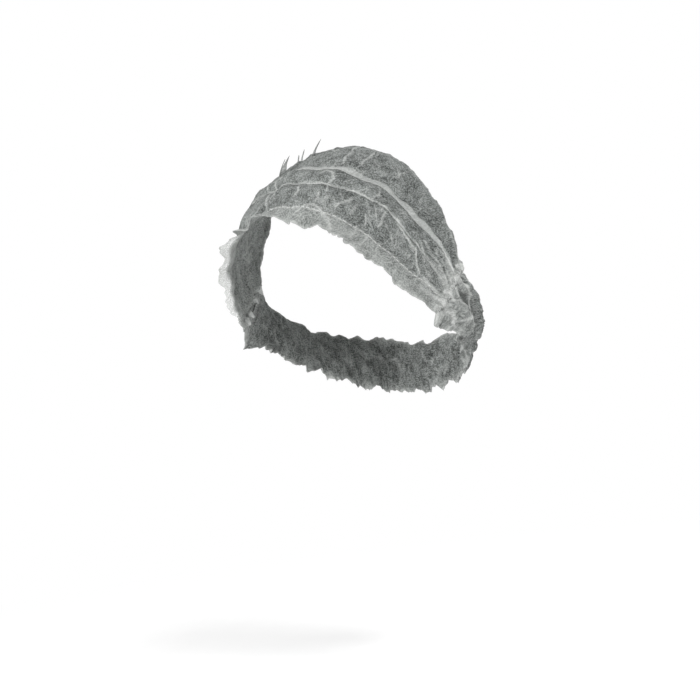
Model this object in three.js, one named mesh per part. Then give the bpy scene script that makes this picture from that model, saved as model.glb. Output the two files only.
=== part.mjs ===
// Disposable headband of thin non-woven cloth, in the form it takes when it is worn.
// Millimetres. +Z is up, -Y is the wearer's front, +X is the wearer's left.
// The origin is the centre of the head that fills the band.

import * as THREE from 'three';

// ---------------------------------------------------------------- driving dimensions

/** Half sizes of the head, hair included, that the band is stretched over. */
const HEAD = { x: 83, y: 100.5, z: 101.5 };

/** Cloth walls and the gap kept between neighbouring pieces. */
const WALL = 1.2;
const GAP = 0.4;
/** Clearance between the head and the innermost skin of the cloth. */
const SKIN = 0.6;

/**
 * Side seam: straight in the side view, from its low front end to its high back end. The bunched cloth
 * is a rod of this radius that swells at each knot, and its ends narrow to the tip's share of the radius.
 */
const SEAM = {
  low: { y: -32, z: -17.5 },
  high: { y: 3.5, z: 13.5 },
  radius: 2.0,
  knot: 1.0,
  knots: 4,
  tip: 0.5,
  steps: 28,
  sides: 8,
};

/**
 * Lengthwise lines of the front panel, one row for each, from the front edge to the back edge.
 *   top    degrees forward of straight up, where the line crosses the middle of the head
 *   bowY   side-view point that the line bends towards on its way down to the seam
 *   bowZ
 *   share  where the line meets the side seam, 0 at its low end and 1 at its high end
 *   ridge  height of the pleat's fold over the cloth beside it
 *   puff   height of the loose cloth between this line and the next
 *   rows   grid rows between this line and the next
 */
const PANEL_LINES = [
  { name: 'front_edge', top: 54.5, bowY: -82, bowZ: 21, share: 0.0, ridge: 0.0, puff: 0.0, rows: 3 },
  { name: 'front_stitching', top: 49.0, bowY: -63, bowZ: 26, share: 0.22, ridge: 0.0, puff: 2.4, rows: 5 },
  { name: 'front_pleat', top: 38.5, bowY: -47, bowZ: 62, share: 0.34, ridge: 1.6, puff: 2.4, rows: 5 },
  { name: 'middle_pleat', top: 27.0, bowY: -23, bowZ: 53, share: 0.62, ridge: 1.8, puff: 3.0, rows: 8 },
  { name: 'back_edge', top: -8.0, bowY: 0.5, bowZ: 62, share: 1.0, ridge: 0.0, puff: 0.0, rows: 0 },
];
/** Width of a pleat's ridge, as a share of the space between two lines. */
const RIDGE_SHARE = 0.16;
const PANEL_STEPS = 52;

/**
 * Ruffle along the free front edge. It stands off the head like a small visor, most of all over the
 * temples, and runs in waves from seam to seam. Past droopFrom it hangs lower, and it dies out at the seams.
 *   waves, ripple, scallop   number of waves, and their height off the head and down the face
 *   visor, templeVisor       height of the edge over the middle of the forehead and over the temples
 */
const RUFFLE = {
  waves: 13,
  ripple: 1.2,
  scallop: 0.8,
  visor: 3.5,
  templeVisor: 9.0,
  templeShape: 0.75,
  droop: 5.0,
  droopFrom: 0.55,
  heldShape: 8,
};

/**
 * Back casing: a flat sleeve whose middle follows an ellipse in plan and falls to the nape.
 *   napeLean    outward lean of its width at the nape, where it sits under the back of the head
 *   turn        degrees of plan over which its width turns from the seam's slope to the nape's
 *   puffOver    share of its length over which it swells from the stitched mouth
 *   lobes       lengthwise puffs beside the seams
 *   gathers     cross folds round the nape
 */
const CASING = {
  halfWidth: 80,
  halfDepth: 83,
  centreY: -13,
  napeZ: -60,
  napeLean: 0.3,
  turn: 60,
  seamWidth: 44,
  napeWidth: 38,
  mouthThick: 5.6,
  puffThick: 9.0,
  puffOver: 0.07,
  napeThick: 6.5,
  lobes: 3,
  lobeDepth: 1.6,
  gathers: 12,
  gatherDepth: 1.1,
  steps: 60,
  sides: 14,
};

/** Flat elastic inside the casing. It reaches out of each mouth by a share of the casing's length. */
const ELASTIC = { width: 10, thick: 1.0, reach: 0.002, steps: 48 };

// ---------------------------------------------------------------- materials

const cloth = new THREE.MeshStandardMaterial({ color: 0x989c99, roughness: 0.9, metalness: 0 });
const seamCloth = new THREE.MeshStandardMaterial({ color: 0xc4c7c4, roughness: 0.85, metalness: 0 });
const rubber = new THREE.MeshStandardMaterial({ color: 0xd9dad6, roughness: 0.7, metalness: 0 });

// ---------------------------------------------------------------- helpers

const lerp = THREE.MathUtils.lerp;
const rad = THREE.MathUtils.degToRad;
const smooth = THREE.MathUtils.smoothstep;

/** Point of the head at a side-view place, on the side given by the sign. */
function headPoint(y, z, sign) {
  const left = 1 - (y / HEAD.y) ** 2 - (z / HEAD.z) ** 2;
  return new THREE.Vector3(sign * HEAD.x * Math.sqrt(Math.max(left, 0)), y, z);
}

/** Outward direction of the head's surface at a point on it. */
function headNormal(point) {
  return new THREE.Vector3(point.x / HEAD.x ** 2, point.y / HEAD.y ** 2, point.z / HEAD.z ** 2).normalize();
}

/** Side-view point of the seam line at a share of its length, moved off it towards the panel. */
function seamPlace(share, towardsPanel) {
  const along = new THREE.Vector2(SEAM.high.y - SEAM.low.y, SEAM.high.z - SEAM.low.z).normalize();
  return {
    y: lerp(SEAM.low.y, SEAM.high.y, share) - along.y * towardsPanel,
    z: lerp(SEAM.low.z, SEAM.high.z, share) + along.x * towardsPanel,
  };
}

/** Geometry from a list of points and a list of triangles. */
function geometryOf(points, triangles) {
  const geometry = new THREE.BufferGeometry();
  geometry.setAttribute('position', new THREE.Float32BufferAttribute(points.flatMap((p) => p.toArray()), 3));
  geometry.setIndex(triangles.flat());
  geometry.computeVertexNormals();
  return geometry;
}

/** Two triangles for a four-sided face. */
function quad(a, b, c, d) {
  return [[a, b, c], [a, c, d]];
}

/**
 * Wall between an outer and an inner skin on one grid of rows and columns, closed round its four edges.
 * skin(row, column) gives the pair of points { outer, inner }. Where wrap is true, the rows close
 * on themselves, and the wall is a tube with open ends.
 */
function wall(rows, columns, wrap, skin) {
  const across = wrap ? rows : rows + 1;
  const outer = [];
  const inner = [];
  for (let c = 0; c <= columns; c += 1) {
    for (let r = 0; r < across; r += 1) {
      const pair = skin(r, c);
      outer.push(pair.outer);
      inner.push(pair.inner);
    }
  }
  const base = outer.length;
  const at = (r, c) => c * across + (r % across);
  const triangles = [];
  for (let c = 0; c < columns; c += 1) {
    for (let r = 0; r < rows; r += 1) {
      triangles.push(...quad(at(r, c), at(r, c + 1), at(r + 1, c + 1), at(r + 1, c)));
      triangles.push(...quad(base + at(r, c), base + at(r + 1, c), base + at(r + 1, c + 1), base + at(r, c + 1)));
    }
  }
  for (let r = 0; r < rows; r += 1) {
    triangles.push(...quad(at(r, 0), at(r + 1, 0), base + at(r + 1, 0), base + at(r, 0)));
    triangles.push(...quad(at(r + 1, columns), at(r, columns), base + at(r, columns), base + at(r + 1, columns)));
  }
  if (!wrap) {
    for (let c = 0; c < columns; c += 1) {
      triangles.push(...quad(at(0, c + 1), at(0, c), base + at(0, c), base + at(0, c + 1)));
      triangles.push(...quad(at(rows, c), at(rows, c + 1), base + at(rows, c + 1), base + at(rows, c)));
    }
  }
  return geometryOf([...outer, ...inner], triangles);
}

/** Solid rod: a closed section carried along columns, with a flat cap at each end. */
function rod(sides, columns, place) {
  const points = [];
  for (let c = 0; c <= columns; c += 1) {
    for (let s = 0; s < sides; s += 1) {
      points.push(place(s / sides, c / columns));
    }
  }
  const at = (s, c) => c * sides + (s % sides);
  const triangles = [];
  for (let c = 0; c < columns; c += 1) {
    for (let s = 0; s < sides; s += 1) {
      triangles.push(...quad(at(s, c), at(s, c + 1), at(s + 1, c + 1), at(s + 1, c)));
    }
  }
  for (let s = 1; s < sides - 1; s += 1) {
    triangles.push([at(0, 0), at(s, 0), at(s + 1, 0)]);
    triangles.push([at(0, columns), at(s + 1, columns), at(s, columns)]);
  }
  return geometryOf(points, triangles);
}

/** The same solid on the wearer's other side. */
function mirrored(geometry) {
  const copy = geometry.clone();
  copy.scale(-1, 1, 1);
  const order = Array.from(copy.index.array);
  const flipped = order.map((_, i) => order[i - (i % 3) + (2 - (i % 3))]);
  copy.setIndex(flipped);
  copy.computeVertexNormals();
  return copy;
}

// ---------------------------------------------------------------- front panel

/** Rows of the panel's grid: the line each row follows, and how far it is towards the next line. */
function panelRows() {
  const rows = [];
  PANEL_LINES.forEach((line, index) => {
    for (let r = 0; r < line.rows; r += 1) {
      rows.push({ index, part: r / line.rows });
    }
  });
  rows.push({ index: PANEL_LINES.length - 2, part: 1 });
  return rows;
}

/** Height of the cloth's inner skin over the head between two lines. It is drawn flat at the seams. */
function panelLift(line, next, part, across) {
  const loose = line.puff * Math.sin(Math.PI * part) * (1 - across ** 4);
  const foldBehind = line.ridge * Math.max(0, 1 - part / RIDGE_SHARE);
  const foldAhead = next.ridge * Math.max(0, 1 - (1 - part) / RIDGE_SHARE);
  return loose + foldBehind + foldAhead;
}

/** Both skins of the panel at a row, and at a place from -1 at the right seam to 1 at the left one. */
function panelSkin({ index, part }, across) {
  const line = PANEL_LINES[index];
  const next = PANEL_LINES[index + 1];
  const sign = Math.sign(across);
  const travel = 1 - Math.cos((Math.PI / 2) * Math.abs(across));
  const share = lerp(line.share, next.share, part);
  const top = rad(lerp(line.top, next.top, part));
  const end = seamPlace(share, SEAM.radius + SEAM.knot + GAP);
  const bow = { y: lerp(line.bowY, next.bowY, part), z: lerp(line.bowZ, next.bowZ, part) };
  const start = { y: -HEAD.y * Math.sin(top), z: HEAD.z * Math.cos(top) };
  const curve = (from, middle, to) => (1 - travel) ** 2 * from + 2 * travel * (1 - travel) * middle + travel ** 2 * to;

  const free = index === 0 ? (1 - part) * (1 - across ** RUFFLE.heldShape) : 0;
  const wave = Math.cos(RUFFLE.waves * Math.PI * across);
  const drooping = Math.max(0, (Math.abs(across) - RUFFLE.droopFrom) / (1 - RUFFLE.droopFrom));
  const droop = free * (RUFFLE.scallop * wave + RUFFLE.droop * Math.sin(Math.PI * drooping) ** 2);
  const point = headPoint(curve(start.y, bow.y, end.y), curve(start.z, bow.z, end.z), sign);
  const normal = headNormal(point);
  point.z -= droop;
  const temple = Math.sin(Math.PI * Math.abs(across) ** RUFFLE.templeShape) ** 2;
  const visor = lerp(RUFFLE.visor, RUFFLE.templeVisor, temple);
  const lift = SKIN + free * (visor + RUFFLE.ripple * wave) + panelLift(line, next, part, across);
  return {
    outer: point.clone().addScaledVector(normal, lift + WALL),
    inner: point.clone().addScaledVector(normal, lift),
  };
}

function frontPanel() {
  const rows = panelRows();
  const place = (c) => (2 * c) / PANEL_STEPS - 1;
  return wall(rows.length - 1, PANEL_STEPS, false, (r, c) => panelSkin(rows[r], place(c)));
}

// ---------------------------------------------------------------- back casing and elastic

/** Centre, width direction and outward direction of the casing, 0 at the left seam and 1 at the right one. */
function casingFrame(along) {
  const seamMiddle = seamPlace(0.5, -(SEAM.radius + SEAM.knot + GAP));
  const first = Math.asin((seamMiddle.y - CASING.centreY) / CASING.halfDepth);
  const angle = lerp(first, Math.PI - first, along);
  const fall = Math.sin(Math.PI * along);
  const centre = new THREE.Vector3(
    CASING.halfWidth * Math.cos(angle),
    CASING.centreY + CASING.halfDepth * Math.sin(angle),
    lerp(seamMiddle.z, CASING.napeZ, fall),
  );
  const out = new THREE.Vector3(Math.cos(angle) / CASING.halfWidth, Math.sin(angle) / CASING.halfDepth, 0);
  out.normalize();
  const side = Math.sign(Math.cos(angle)) || 1;
  const seamLow = headPoint(SEAM.low.y, SEAM.low.z, side);
  const seamHigh = headPoint(SEAM.high.y, SEAM.high.z, side);
  const atSeam = seamHigh.sub(seamLow).normalize();
  const atNape = out.clone().multiplyScalar(CASING.napeLean).add(new THREE.Vector3(0, 0, 1)).normalize();
  const fromSeam = Math.min(angle - first, Math.PI - first - angle);
  const turned = smooth(fromSeam, 0, rad(CASING.turn));
  const across = atSeam.lerp(atNape, turned).normalize();
  const normal = out.addScaledVector(across, -out.dot(across)).normalize();
  const filled = smooth(Math.min(along, 1 - along), 0, CASING.puffOver);
  const puffed = lerp(CASING.puffThick, CASING.napeThick, turned);
  return { centre, across, normal, turned, thick: lerp(CASING.mouthThick, puffed, filled) };
}

/** Both skins of the casing at a share of the way round its section, and at a place along it. */
function casingSkin(round, along) {
  const { centre, across, normal, turned, thick } = casingFrame(along);
  const angle = -2 * Math.PI * round;
  const width = lerp(CASING.seamWidth, CASING.napeWidth, turned);
  const w = Math.cos(angle);
  const h = Math.sign(Math.sin(angle)) * Math.sqrt(Math.abs(Math.sin(angle)));
  const outside = Math.max(h, 0);
  const lobes = 0.5 - 0.5 * Math.cos(CASING.lobes * 2 * Math.PI * (0.5 + 0.5 * w));
  const gathers = Math.cos(2 * Math.PI * CASING.gathers * (along - 0.5));
  const relief = outside * (CASING.lobeDepth * (1 - turned) * lobes + CASING.gatherDepth * turned * gathers);
  const place = (shrink) =>
    centre
      .clone()
      .addScaledVector(across, w * (width / 2 - shrink))
      .addScaledVector(normal, SKIN + thick / 2 + h * (thick / 2 - shrink) + relief);
  return { outer: place(0), inner: place(WALL) };
}

function backCasing() {
  return wall(CASING.sides, CASING.steps, true, (r, c) => casingSkin(r / CASING.sides, c / CASING.steps));
}

function elasticStrip() {
  const corners = [
    { w: -1, h: -1 },
    { w: -1, h: 1 },
    { w: 1, h: 1 },
    { w: 1, h: -1 },
  ];
  return rod(corners.length, ELASTIC.steps, (side, along) => {
    const reached = lerp(-ELASTIC.reach, 1 + ELASTIC.reach, along);
    const { centre, across, normal, thick } = casingFrame(reached);
    const corner = corners[Math.round(side * corners.length)];
    const middle = SKIN + thick / 2;
    return centre
      .addScaledVector(across, (corner.w * ELASTIC.width) / 2)
      .addScaledVector(normal, middle + (corner.h * ELASTIC.thick) / 2);
  });
}

// ---------------------------------------------------------------- side seams

/** Gathered seam on the wearer's left: a rod along the seam line that swells at each knot of cloth. */
function sideSeam() {
  return rod(SEAM.sides, SEAM.steps, (round, along) => {
    const place = seamPlace(along, 0);
    const point = headPoint(place.y, place.z, 1);
    const normal = headNormal(point);
    const line = headPoint(SEAM.high.y, SEAM.high.z, 1).sub(headPoint(SEAM.low.y, SEAM.low.z, 1)).normalize();
    const cross = new THREE.Vector3().crossVectors(normal, line).normalize();
    const swell = 0.5 - 0.5 * Math.cos(2 * Math.PI * SEAM.knots * along);
    const rounded = Math.sqrt(Math.max(SEAM.tip ** 2, 1 - (2 * along - 1) ** 8));
    const radius = (SEAM.radius + SEAM.knot * swell) * rounded;
    const angle = -2 * Math.PI * round;
    return point
      .addScaledVector(normal, SKIN + SEAM.radius + SEAM.knot / 2 + radius * Math.sin(angle))
      .addScaledVector(cross, radius * Math.cos(angle));
  });
}

// ---------------------------------------------------------------- assembly

/** Named mesh of a piece. */
function piece(name, geometry, material) {
  const mesh = new THREE.Mesh(geometry, material);
  mesh.name = name;
  return mesh;
}

const headband = new THREE.Group();
const leftSeam = sideSeam();
headband.add(
  piece('front_panel', frontPanel(), cloth),
  piece('back_casing', backCasing(), cloth),
  piece('elastic_strip', elasticStrip(), rubber),
  piece('side_seam_left', leftSeam, seamCloth),
  piece('side_seam_right', mirrored(leftSeam), seamCloth),
);

export default headband;
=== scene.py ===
"""Disposable headband of thin non-woven cloth, in the form it takes when it is worn.

Metres. +Z is up, -Y is the wearer's front and +X is the wearer's left. The origin is the centre of the
head that fills the band; the head itself isn't there. A broad panel with a double front hem, two pleats
and a narrow back hem is laid over the crown, and a gathered sleeve with an elastic in it goes round the
nape from one side seam to the other.
"""

from __future__ import annotations

import logging
import math
from dataclasses import dataclass
from enum import Enum
from typing import Any, Union

import bpy
import numpy as np
from mathutils import Matrix


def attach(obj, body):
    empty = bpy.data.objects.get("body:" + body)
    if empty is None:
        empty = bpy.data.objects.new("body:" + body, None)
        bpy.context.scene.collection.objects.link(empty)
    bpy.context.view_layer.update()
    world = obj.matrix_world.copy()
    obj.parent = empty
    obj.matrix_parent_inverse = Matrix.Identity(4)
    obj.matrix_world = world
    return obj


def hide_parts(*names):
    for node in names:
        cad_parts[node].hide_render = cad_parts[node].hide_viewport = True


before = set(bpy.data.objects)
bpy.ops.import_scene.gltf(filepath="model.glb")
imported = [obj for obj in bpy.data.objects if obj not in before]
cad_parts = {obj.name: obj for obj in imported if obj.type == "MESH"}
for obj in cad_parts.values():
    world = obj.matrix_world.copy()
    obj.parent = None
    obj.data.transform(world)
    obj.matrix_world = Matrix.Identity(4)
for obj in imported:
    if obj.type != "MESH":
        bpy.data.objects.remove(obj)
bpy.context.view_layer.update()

LOG = logging.getLogger("headband")
Array = np.ndarray
BODY = "root"


# ------------------------------------------------------------------------------------ numbers on grids


def held(x: Array) -> Array:
    """X kept between 0 and 1."""
    return np.clip(x, 0.0, 1.0)


def ease(x: Array) -> Array:
    """Smooth step 3x² - 2x³ of x between 0 and 1, level outside it."""
    x = held(x)
    return x * x * (3.0 - 2.0 * x)


def mixed(first: Any, second: Any, share: Any) -> Any:
    """First plus share of the way to second."""
    return first + (second - first) * share


def hump(x: Array) -> Array:
    """Rounded hump (1 - x²)², 1 at nought and 0 from one outwards."""
    return held(1.0 - x * x) ** 2


def unit(vectors: Array) -> Array:
    """Vectors of length one, along the last axis."""
    return vectors / np.maximum(np.linalg.norm(vectors, axis=-1, keepdims=True), 1e-12)


@dataclass(frozen=True)
class Rumple:
    """Smooth random relief of loose cloth over two surface lengths.

    The relief is a sum of cosines cos(k · place + phase), with seeded directions, lengths and phases,
    divided by the root of half their number, so that it mostly stays within its height.
    """

    length: float
    seed: int
    stretch: float = 1.0
    waves: int = 22
    height: float = 1.0

    def at(self, along: Array, over: Array) -> Array:
        """Relief at places given by two lengths in metres; features are stretch times as long along.

        Args:
            along: First length.
            over: Second length.

        Returns:
            Relief at each place.
        """
        rng = np.random.default_rng(self.seed)
        turn = rng.uniform(0.0, 2.0 * math.pi, self.waves)
        size = 2.0 * math.pi / self.length * rng.uniform(0.55, 1.45, self.waves)
        phase = rng.uniform(0.0, 2.0 * math.pi, self.waves)
        first = np.asarray(along)[..., None] * (size * np.cos(turn) / self.stretch)
        second = np.asarray(over)[..., None] * (size * np.sin(turn))
        return self.height * (np.cos(first + second + phase).sum(axis=-1) / math.sqrt(self.waves / 2.0))

    def on_line(self, along: Array) -> Array:
        """Relief at places along one line."""
        return self.at(along, along * 0.0)

    def ridges(self, along: Array, over: Array) -> Array:
        """Sharp fold lines: the height less twice the relief's size, highest where it crosses nought."""
        return self.height - 2.0 * np.minimum(np.abs(self.at(along, over)), self.height)


def grid_faces(rows: int, columns: int, round_rows: bool = False, round_columns: bool = False) -> Array:
    """Four-sided faces of a grid of points.

    Args:
        rows: Number of points down the grid.
        columns: Number of points along it.
        round_rows: True where the last row joins the first one.
        round_columns: True where the last column joins the first one.

    Returns:
        One row of four point numbers for each face, turning from the column's way to the row's.
    """
    row = np.arange(rows if round_rows else rows - 1)[:, None]
    column = np.arange(columns if round_columns else columns - 1)[None, :]
    below, after = (row + 1) % rows, (column + 1) % columns
    places = ((row, column), (row, after), (below, after), (below, column))
    corners = [down * columns + over for down, over in places]
    return np.stack(corners, axis=-1).reshape(-1, 4)


# --------------------------------------------------------------------------------------------- meshes


@dataclass
class Sheet:
    """Grid of cloth: its points, the faces between them, and values at each point for the finish.

    A value is a number at each point, or a pair of lengths in metres that says where the point lies
    on the cloth's own surface.
    """

    points: Array
    faces: Array
    values: dict[str, Array]

    def joined(self, other: "Sheet") -> "Sheet":
        """This sheet and another one as one."""
        moved = other.faces + len(self.points.reshape(-1, 3))
        return Sheet(
            np.concatenate([self.points.reshape(-1, 3), other.points.reshape(-1, 3)]),
            np.concatenate([self.faces, moved]),
            {k: np.concatenate([v.ravel(), other.values[k].ravel()]) for k, v in self.values.items()},
        )


def new_piece(name: str, sheet: Sheet, material: bpy.types.Material) -> bpy.types.Object:
    """Object at the origin with the sheet as its mesh, smooth shaded, with the sheet's point values.

    Args:
        name: The piece's plain name.
        sheet: Points, faces and point values.
        material: Finish of the whole piece.

    Returns:
        The object, linked to the scene and riding on the headband's body.
    """
    mesh = bpy.data.meshes.new(name)
    mesh.from_pydata(sheet.points.reshape(-1, 3).tolist(), [], sheet.faces.tolist())
    mesh.shade_smooth()
    for key, values in sheet.values.items():
        flat = np.ascontiguousarray(values, dtype=np.float32).ravel()
        if flat.size == 2 * len(mesh.vertices):
            layer = mesh.attributes.new(key, "FLOAT_VECTOR", "POINT")
            layer.data.foreach_set("vector", np.insert(flat.reshape(-1, 2), 2, 0.0, axis=1).ravel())
        else:
            layer = mesh.attributes.new(key, "FLOAT", "POINT")
            layer.data.foreach_set("value", flat)
    mesh.materials.append(material)
    mesh.validate()
    piece = linked(name, mesh)
    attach(piece, BODY)
    return piece


def linked(name: str, data: bpy.types.ID) -> bpy.types.Object:
    """New object with these data, linked to the scene.

    Args:
        name: Plain name.
        data: Mesh, lamp or camera.

    Returns:
        The object.
    """
    made = bpy.data.objects.new(name, data)
    bpy.context.scene.collection.objects.link(made)
    return made


def thicken(piece: bpy.types.Object, thickness: float) -> None:
    """Gives a sheet its cloth's thickness, half on each side.

    Args:
        piece: Sheet to thicken.
        thickness: Metres.
    """
    shell = piece.modifiers.new("thickness", "SOLIDIFY")
    shell.thickness = thickness
    shell.offset = 0.0
    shell.use_rim = True


def carried(path: Array, profile: Array, across: Array, over: Array) -> Sheet:
    """A profile carried along a path as a tube, with both ends closed by a fan of faces.

    Each point is path + across * profile[0] + over * profile[1], so the tube's skin is a function of
    the place along the path and the place round the profile.

    Args:
        path: Points (n, 3).
        profile: Offsets (m, 2), or (n, m, 2) where it changes along the path, with m even. It turns
            from over towards across where across x over points along the path, else the other way.
        across: Unit vectors (n, 3) of the profile's first offset.
        over: Unit vectors (n, 3) of its second.

    Returns:
        The tube as a sheet with no point values.
    """
    shape = np.broadcast_to(profile, (len(path),) + profile.shape[-2:])
    points = path[:, None] + across[:, None] * shape[..., :1] + over[:, None] * shape[..., 1:]
    count = shape.shape[1]
    faces = grid_faces(count, len(path), round_rows=True)
    grid = points.transpose(1, 0, 2).reshape(-1, 3)
    ends = np.stack([path[0], path[-1]])
    ring = np.arange(0, count, 2)
    first = np.stack([ring, ring + 1, (ring + 2) % count], axis=-1) * len(path)
    last = first[:, ::-1] + len(path) - 1
    centre = np.full(len(ring), len(grid))
    caps = np.concatenate([np.column_stack([first, centre]), np.column_stack([last, centre + 1])])
    return Sheet(np.concatenate([grid, ends]), np.concatenate([faces, caps]), {})


# -------------------------------------------------------------------------------------------- shaders


Number = Union[float, "Value"]


class Value:
    """A shader's number, usable in an expression: each operator adds its Math node."""

    def __init__(self, tree: bpy.types.NodeTree, socket: bpy.types.NodeSocket) -> None:
        """Wraps an output socket of a tree."""
        self.tree = tree
        self.socket = socket

    def math(self, operation: str, *numbers: Number) -> "Value":
        """Result of one Math node on these numbers or values.

        Args:
            operation: The node's operation.
            numbers: Its inputs.

        Returns:
            Its result.
        """
        node = self.tree.nodes.new("ShaderNodeMath")
        node.operation = operation
        for slot, number in zip(node.inputs, numbers):
            if isinstance(number, Value):
                self.tree.links.new(number.socket, slot)
            else:
                slot.default_value = number
        return Value(self.tree, node.outputs[0])

    def __add__(self, other: Number) -> "Value":
        """Sum."""
        return self.math("ADD", self, other)

    __radd__ = __add__

    def __mul__(self, other: Number) -> "Value":
        """Product."""
        return self.math("MULTIPLY", self, other)

    __rmul__ = __mul__

    def __sub__(self, other: Number) -> "Value":
        """Difference."""
        return self.math("SUBTRACT", self, other)

    def __rsub__(self, other: Number) -> "Value":
        """Difference from a number."""
        return self.math("SUBTRACT", other, self)

    def __abs__(self) -> "Value":
        """Size."""
        return self.math("ABSOLUTE", self)

    def at_most(self, other: Number) -> "Value":
        """The lower of the two."""
        return self.math("MINIMUM", self, other)

    def at_least(self, other: Number) -> "Value":
        """The higher of the two."""
        return self.math("MAXIMUM", self, other)

    def held(self) -> "Value":
        """The value kept between 0 and 1."""
        return self.at_least(0.0).at_most(1.0)

    def step(self, low: float, high: float) -> "Value":
        """Rises smoothly from 0 at low to 1 at high."""
        share = ((self - low) * (1.0 / (high - low))).held()
        return share * share * (3.0 - 2.0 * share)

    def line(self, half_width: float) -> "Value":
        """1 where a noise from 0 to 1 crosses its middle, falling to 0 at half_width from it."""
        return (1.0 - abs(self - 0.5) * (1.0 / half_width)).held()


class Shader:
    """A material under construction: adds nodes, joins values to sockets, and ends in a Principled."""

    def __init__(self, name: str) -> None:
        """Starts a material with a Principled shader on its output.

        Args:
            name: Plain name.
        """
        self.material = bpy.data.materials.new(name)
        self.material.use_nodes = True
        self.tree = self.material.node_tree
        self.tree.nodes.clear()
        self.surface = self.tree.nodes.new("ShaderNodeBsdfPrincipled")
        self.output = self.tree.nodes.new("ShaderNodeOutputMaterial")
        self.tree.links.new(self.surface.outputs[0], self.output.inputs["Surface"])

    def add(self, kind: str, settings: dict[str, Any], inputs: dict[Any, Any], output: Any = 0) -> Value:
        """Adds a node.

        Args:
            kind: The node's type, such as "ShaderNodeTexNoise".
            settings: Its own settings, made before any socket is set.
            inputs: Numbers, colours or values for its sockets, by name or number.
            output: Name or number of the output wanted.

        Returns:
            That output as a value.
        """
        node = self.tree.nodes.new(kind)
        for key, setting in settings.items():
            setattr(node, key, setting)
        for key, given in inputs.items():
            self.give(node.inputs[key], given)
        return Value(self.tree, node.outputs[output])

    def give(self, socket: bpy.types.NodeSocket, given: Any) -> None:
        """Links a value to a socket, or sets the socket to a plain number or colour."""
        if isinstance(given, Value):
            self.tree.links.new(given.socket, socket)
        else:
            socket.default_value = given

    def finish(self, varying: dict[str, Any], fixed: dict[str, Any]) -> bpy.types.Material:
        """Sets the Principled shader's sockets and returns the material."""
        for key, given in {**fixed, **varying}.items():
            self.give(self.surface.inputs[key], given)
        return self.material

    def mix_in(self, other: Value, share: Number) -> None:
        """Shows another shader in place of a share of the Principled one.

        Args:
            other: The other shader.
            share: Its share.
        """
        surface = Value(self.tree, self.surface.outputs[0])
        both = self.add("ShaderNodeMixShader", {}, {0: share, 1: surface, 2: other})
        self.give(self.output.inputs["Surface"], both)

    def place(self) -> Value:
        """Place on the object, in metres."""
        return self.add("ShaderNodeTexCoord", {}, {}, "Object")

    def point_value(self, name: str, output: str = "Fac") -> Value:
        """A value kept at the mesh's points, or a place on the cloth with the output "Vector"."""
        return self.add("ShaderNodeAttribute", {"attribute_name": name}, {}, output)

    def stretched(self, place: Value, turn: float, size: tuple[float, float, float]) -> Value:
        """Place in axes turned about Z by an angle in radians, with features size times as long on each."""
        return self.add(
            "ShaderNodeMapping",
            {"vector_type": "TEXTURE"},
            {"Vector": place, "Rotation": (0.0, 0.0, turn), "Scale": size},
        )

    def noise(self, place: Value, per_metre: float, detail: float = 2.0, rough: float = 0.5) -> Value:
        """Cloudy noise from 0 to 1 with features of one over per_metre."""
        return self.add(
            "ShaderNodeTexNoise",
            {"noise_dimensions": "3D"},
            {"Vector": place, "Scale": per_metre, "Detail": detail, "Roughness": rough},
        )

    def tint(self, share: Number, first: Any, second: Any) -> Value:
        """Colour mixed from first to second by a share.

        Args:
            share: Share of the second.
            first: Colour at 0.
            second: Colour at 1.

        Returns:
            The colour.
        """
        node = self.tree.nodes.new("ShaderNodeMix")
        node.data_type = "RGBA"
        for slot, given in zip((node.inputs[0], node.inputs[6], node.inputs[7]), (share, first, second)):
            self.give(slot, given)
        return Value(self.tree, node.outputs[2])

    def relief(self, height: Value, depth: float, strength: float = 1.0) -> Value:
        """Normal of a surface raised by height times depth, in metres."""
        return self.add(
            "ShaderNodeBump", {}, {"Height": height, "Distance": depth, "Strength": strength}, "Normal"
        )


Colour = tuple[float, float, float, float]


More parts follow.
